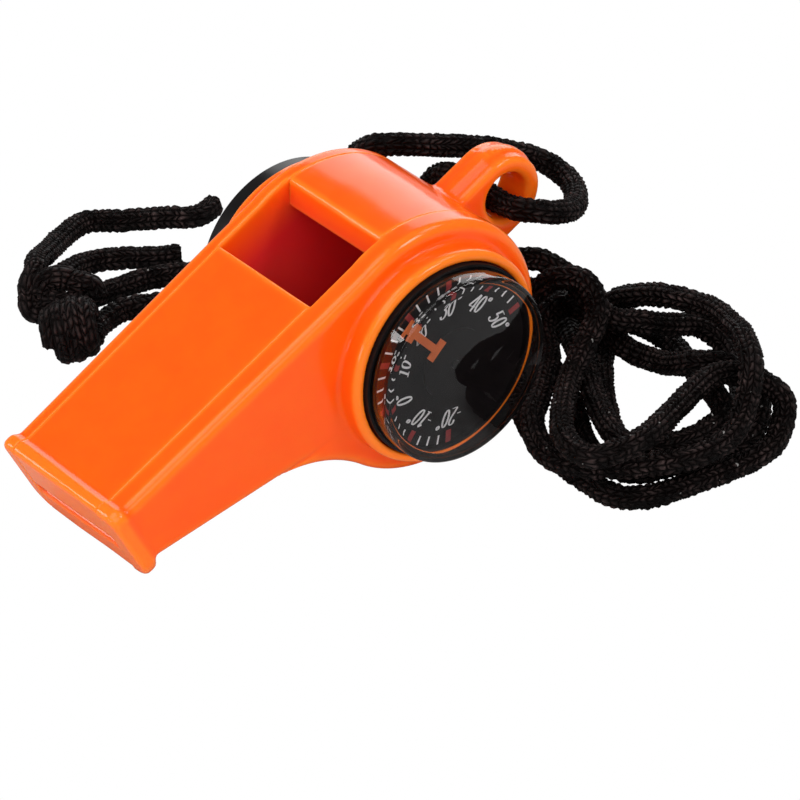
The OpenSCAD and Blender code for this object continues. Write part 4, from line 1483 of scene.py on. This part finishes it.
@dataclass(frozen=True)
class Instrument:
    """What both instruments share: the clear dome in its case and a printed face.

    Attributes:
        side: side of the whistle.
        node: CAD node of the dome.
        foot: height of the dome's lower rim.
        shoulder: height where the wall ends.
        radius: radius of the dome.
        wall: thickness of its wall.
        rise: rise of the crown.
        bevel: rounding of the shoulder.
        fillet: rounding of the hollow's upper corner.
        steps: points round it.
        rim_steps: points of the rounded shoulder.
        cap_steps: points of the crown, and of its hollow's corner.
        sharp: angle in degrees from which an edge shows.
        face: height of the printed face.
        ink_high: thickness of the marks.
        start: angle of the first mark in degrees.
        number_r: radius of the numbers' middles.
        bars: the rows of marks.
    """

    side: Side
    node: str
    foot: float = 13.05
    shoulder: float = 16.9
    radius: float = 11.03
    wall: float = 0.55
    rise: float = 1.2
    bevel: float = 0.5
    fillet: float = 1.0
    steps: int = 160
    rim_steps: int = 9
    cap_steps: int = 24
    sharp: float = 50.0
    face: float = 14.11
    ink_high: float = 0.02
    start: float = 0.0
    number_r: float = 7.0
    bars: Sequence[Bars] = ()

    def dome(self) -> bpy.types.Object:
        """The clear dome, a thin shell with a low crown."""
        crown = (self.radius**2 + self.rise**2) / (2 * self.rise)
        middle = self.shoulder + self.rise - crown
        low = self.shoulder - self.bevel
        inner = self.radius - self.bevel
        turn = np.linspace(0.0, math.acos(inner / crown), self.rim_steps)
        rim = np.stack([inner + self.bevel * np.cos(turn), low + self.bevel * np.sin(turn)], axis=1)
        lift = rim[-1, 1] - middle - math.sqrt(crown**2 - rim[-1, 0] ** 2)
        r = np.linspace(rim[-1, 0], 0.0, self.cap_steps)[1:-1]
        cap = np.stack([r, middle + lift + np.sqrt(crown**2 - r**2)], axis=1)
        well = self.radius - self.wall
        under = crown - self.wall
        hub, reach = well - self.fillet, under - self.fillet
        turn = np.linspace(0.0, math.acos(hub / reach), self.cap_steps)[::-1]
        top = middle + math.sqrt(reach**2 - hub**2)
        corner = np.stack([hub + self.fillet * np.cos(turn), top + self.fillet * np.sin(turn)], axis=1)
        r = np.linspace(0.0, corner[0, 0], self.cap_steps)[1:-1]
        ceiling = np.stack([r, middle + np.sqrt(under**2 - r**2)], axis=1)
        profile = np.concatenate([ceiling, corner, [[well, self.foot], [self.radius, self.foot]], rim, cap])
        return self.lathe(self.node + "_clear", profile, CLEAR)

    def lathe(self, name: str, profile: np.ndarray, finish: Finish) -> bpy.types.Object:
        """Turns a profile round the instrument's axis.

        Args:
            name: name of the piece.
            profile: rows of radius and height; its two ends close on the axis.
            finish: surface of the piece.

        Returns:
            The new piece.
        """
        angle = np.arange(self.steps) * 2 * math.pi / self.steps
        rings = [np.stack([r * np.cos(angle), r * np.sin(angle), np.full(self.steps, h)], axis=1)
                 for r, h in profile]
        faces = []
        ahead = np.roll(np.arange(self.steps), -1)
        for i in range(len(profile) - 1):
            a = i * self.steps
            faces += np.stack([a + np.arange(self.steps), a + ahead, a + self.steps + ahead,
                               a + self.steps + np.arange(self.steps)], axis=1).tolist()
        faces.append(list(range(self.steps))[::-1])
        faces.append(list(range((len(profile) - 1) * self.steps, len(profile) * self.steps)))
        made = sealed(name, REST.disc_to_row(np.concatenate(rings), self.side), faces, finish)
        made.data.shade_smooth()
        made.data.set_sharp_from_angle(angle=math.radians(self.sharp))
        return made

    def numbers(self, name: str, pen: Pen, labels: dict[float, str], finish: Finish) -> bpy.types.Object:
        """Prints numbers round a face, their tops outward.

        Args:
            name: name of the piece.
            pen: the hand that they are written in.
            labels: the number at each angle in degrees.
            finish: ink.

        Returns:
            The new piece.
        """
        points, faces, start = [], [], 0
        for angle, label in labels.items():
            up = np.array([math.cos(math.radians(angle)), math.sin(math.radians(angle))])
            right = np.array([up[1], -up[0]])
            for flat, sides in pen.write(label):
                place = (self.number_r + flat[:, 1:2]) * up + flat[:, :1] * right
                points.append(np.column_stack([place, self.face + flat[:, 2]]))
                faces += [[start + v for v in face] for face in sides]
                start += len(flat)
        return sealed(name, REST.disc_to_row(np.concatenate(points), self.side), faces, finish)

    def marks(self, tree: MarkTree, bars: Bars) -> bpy.types.Object:
        """Prints a row of bars round a face with a Geometry Nodes tree.

        Args:
            tree: the tree that sets the bars.
            bars: their number and sizes.

        Returns:
            The new piece.
        """
        made = tree.run(
            piece(bars.name, np.zeros((1, 3)), [], bars.finish), bars.finish, start=math.radians(self.start),
            height=self.ink_high, step=math.radians(bars.step), count=bars.count, every=bars.every,
            drop=bars.drop, middle=bars.middle, length=bars.length, width=bars.width)
        flat = np.empty(len(made.data.vertices) * 3)
        made.data.vertices.foreach_get("co", flat)
        points = flat.reshape(-1, 3) + [0.0, 0.0, self.face]
        made.data.vertices.foreach_set("co", REST.disc_to_row(points, self.side).ravel())
        made.data.shade_flat()
        return made

    def print_face(self, tree: MarkTree, numbers: bpy.types.Object, body: Body, slot: str) -> None:
        """Adds the marks and hands all that is printed to the frame.

        Args:
            tree: the tree that sets the marks.
            numbers: the printed numbers.
            body: the body that the face belongs to.
            slot: slot of the face in the record.
        """
        for ink in [numbers, *[self.marks(tree, bars) for bars in self.bars]]:
            dress(ink, body, slot)


@dataclass(frozen=True)
class Thermometer(Instrument):
    """Dial thermometer: a scale from -20 to 50 degrees over the upper and left side.

    Attributes:
        step: degrees of turn from one number to the next.
        hottest: highest number.
        tens: how many numbers there are, ten apart.
    """

    side: Side = Side.NEAR
    node: str = "thermometer_dome"
    start: float = -6.0
    bars: Sequence[Bars] = (
        Bars("thermometer_marks_red", PRINT_RED, 8, 35.0, 9.3, 1.5, 0.7),
        Bars("thermometer_marks_white", PRINT_WHITE, 29, 8.75, 9.45, 1.1, 0.22, every=4, drop=0))
    step: float = 35.0
    hottest: int = 50
    tens: int = 8

    def build(self, tree: MarkTree) -> None:
        """Adds the dome and the printed scale.

        Args:
            tree: the tree that sets the marks.
        """
        dress(self.dome(), Body.WHISTLE, "clear_plastic", self.node)
        labels = {self.start + self.step * i: f"{self.hottest - 10 * i}°" for i in range(self.tens)}
        numbers = self.numbers("thermometer_numbers", Pen(), labels, PRINT_WHITE)
        self.print_face(tree, numbers, Body.WHISTLE, "dial_black")


@dataclass(frozen=True)
class Compass(Instrument):
    """Compass: a floating card with a degree ring.

    Attributes:
        case_r: radius of the case.
        case_in: radius of its well.
        case_foot: height of its underside.
        case_floor: height of its floor.
        case_lip: thickness of its lip.
        lip_top: height of the lip.
        dome_gap: gap under the dome's rim.
        axis_r: radius at which its floor closes on the axis.
        number_step: degrees from one number to the next.
        pen: the hand that the numbers are written in.
    """

    side: Side = Side.FAR
    node: str = "compass_dome"
    shoulder: float = 16.3
    number_r: float = 6.2
    bars: Sequence[Bars] = (
        Bars("compass_marks_long", PRINT_BLACK, 12, 30.0, 8.0, 1.4, 0.3),
        Bars("compass_marks_short", PRINT_BLACK, 72, 5.0, 8.35, 0.7, 0.14, every=6, drop=0))
    case_r: float = 11.4
    case_in: float = 9.3
    case_foot: float = 9.9
    case_floor: float = 10.7
    case_lip: float = 0.32
    lip_top: float = 15.95
    dome_gap: float = 0.05
    axis_r: float = 0.2
    number_step: int = 30
    pen: Pen = Pen(tall=1.2, slant=0.0)

    def case(self) -> bpy.types.Object:
        """The black cup under the card, its thin lip rounded."""
        inner = self.case_r - self.case_lip
        turn = np.linspace(0.0, math.pi, 7)[1:-1]
        middle, half = (self.case_r + inner) / 2, self.case_lip / 2
        lip = np.stack([middle - half * np.cos(turn), self.lip_top - half + half * np.sin(turn)], axis=1)
        ledge = self.foot - self.dome_gap
        inside = [[self.axis_r, self.case_floor], [self.case_in, self.case_floor], [self.case_in, ledge],
                  [inner, ledge], [inner, self.lip_top - half]]
        outside = [[self.case_r, self.lip_top - half], [self.case_r, self.case_foot],
                   [self.axis_r, self.case_foot]]
        return self.lathe("compass_case_shell", np.concatenate([inside, lip, outside]), BLACK)

    def build(self, tree: MarkTree) -> None:
        """Adds the dome, the case and the printed card.

        Args:
            tree: the tree that sets the marks.
        """
        dress(self.dome(), Body.WHISTLE, "clear_plastic", self.node)
        dress(self.case(), Body.WHISTLE, "black_plastic", "compass_case")
        labels = {90.0 - a: str(a) for a in range(0, 360, self.number_step)}
        numbers = self.numbers("compass_numbers", self.pen, labels, PRINT_BLACK)
        self.print_face(tree, numbers, Body.CARD, "card_white")


def paint_cad() -> None:
    """Gives the CAD nodes that stay in view their surfaces."""
    for finish, names in CAD_FINISH.items():
        for name in names:
            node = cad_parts[name]
            node.data.materials.clear()
            node.data.materials.append(finish.material())


def main() -> None:
    """Builds the scene from the camera outward."""
    logging.basicConfig(level=logging.INFO, format="%(name)s: %(message)s")
    CameraRig().build()
    Lanyard().build()
    WhistleBody().build()
    paint_cad()
    marks = MarkTree()
    Thermometer().build(marks)
    Compass().build(marks)
    Studio().build()


if __name__ == "__main__":
    main()
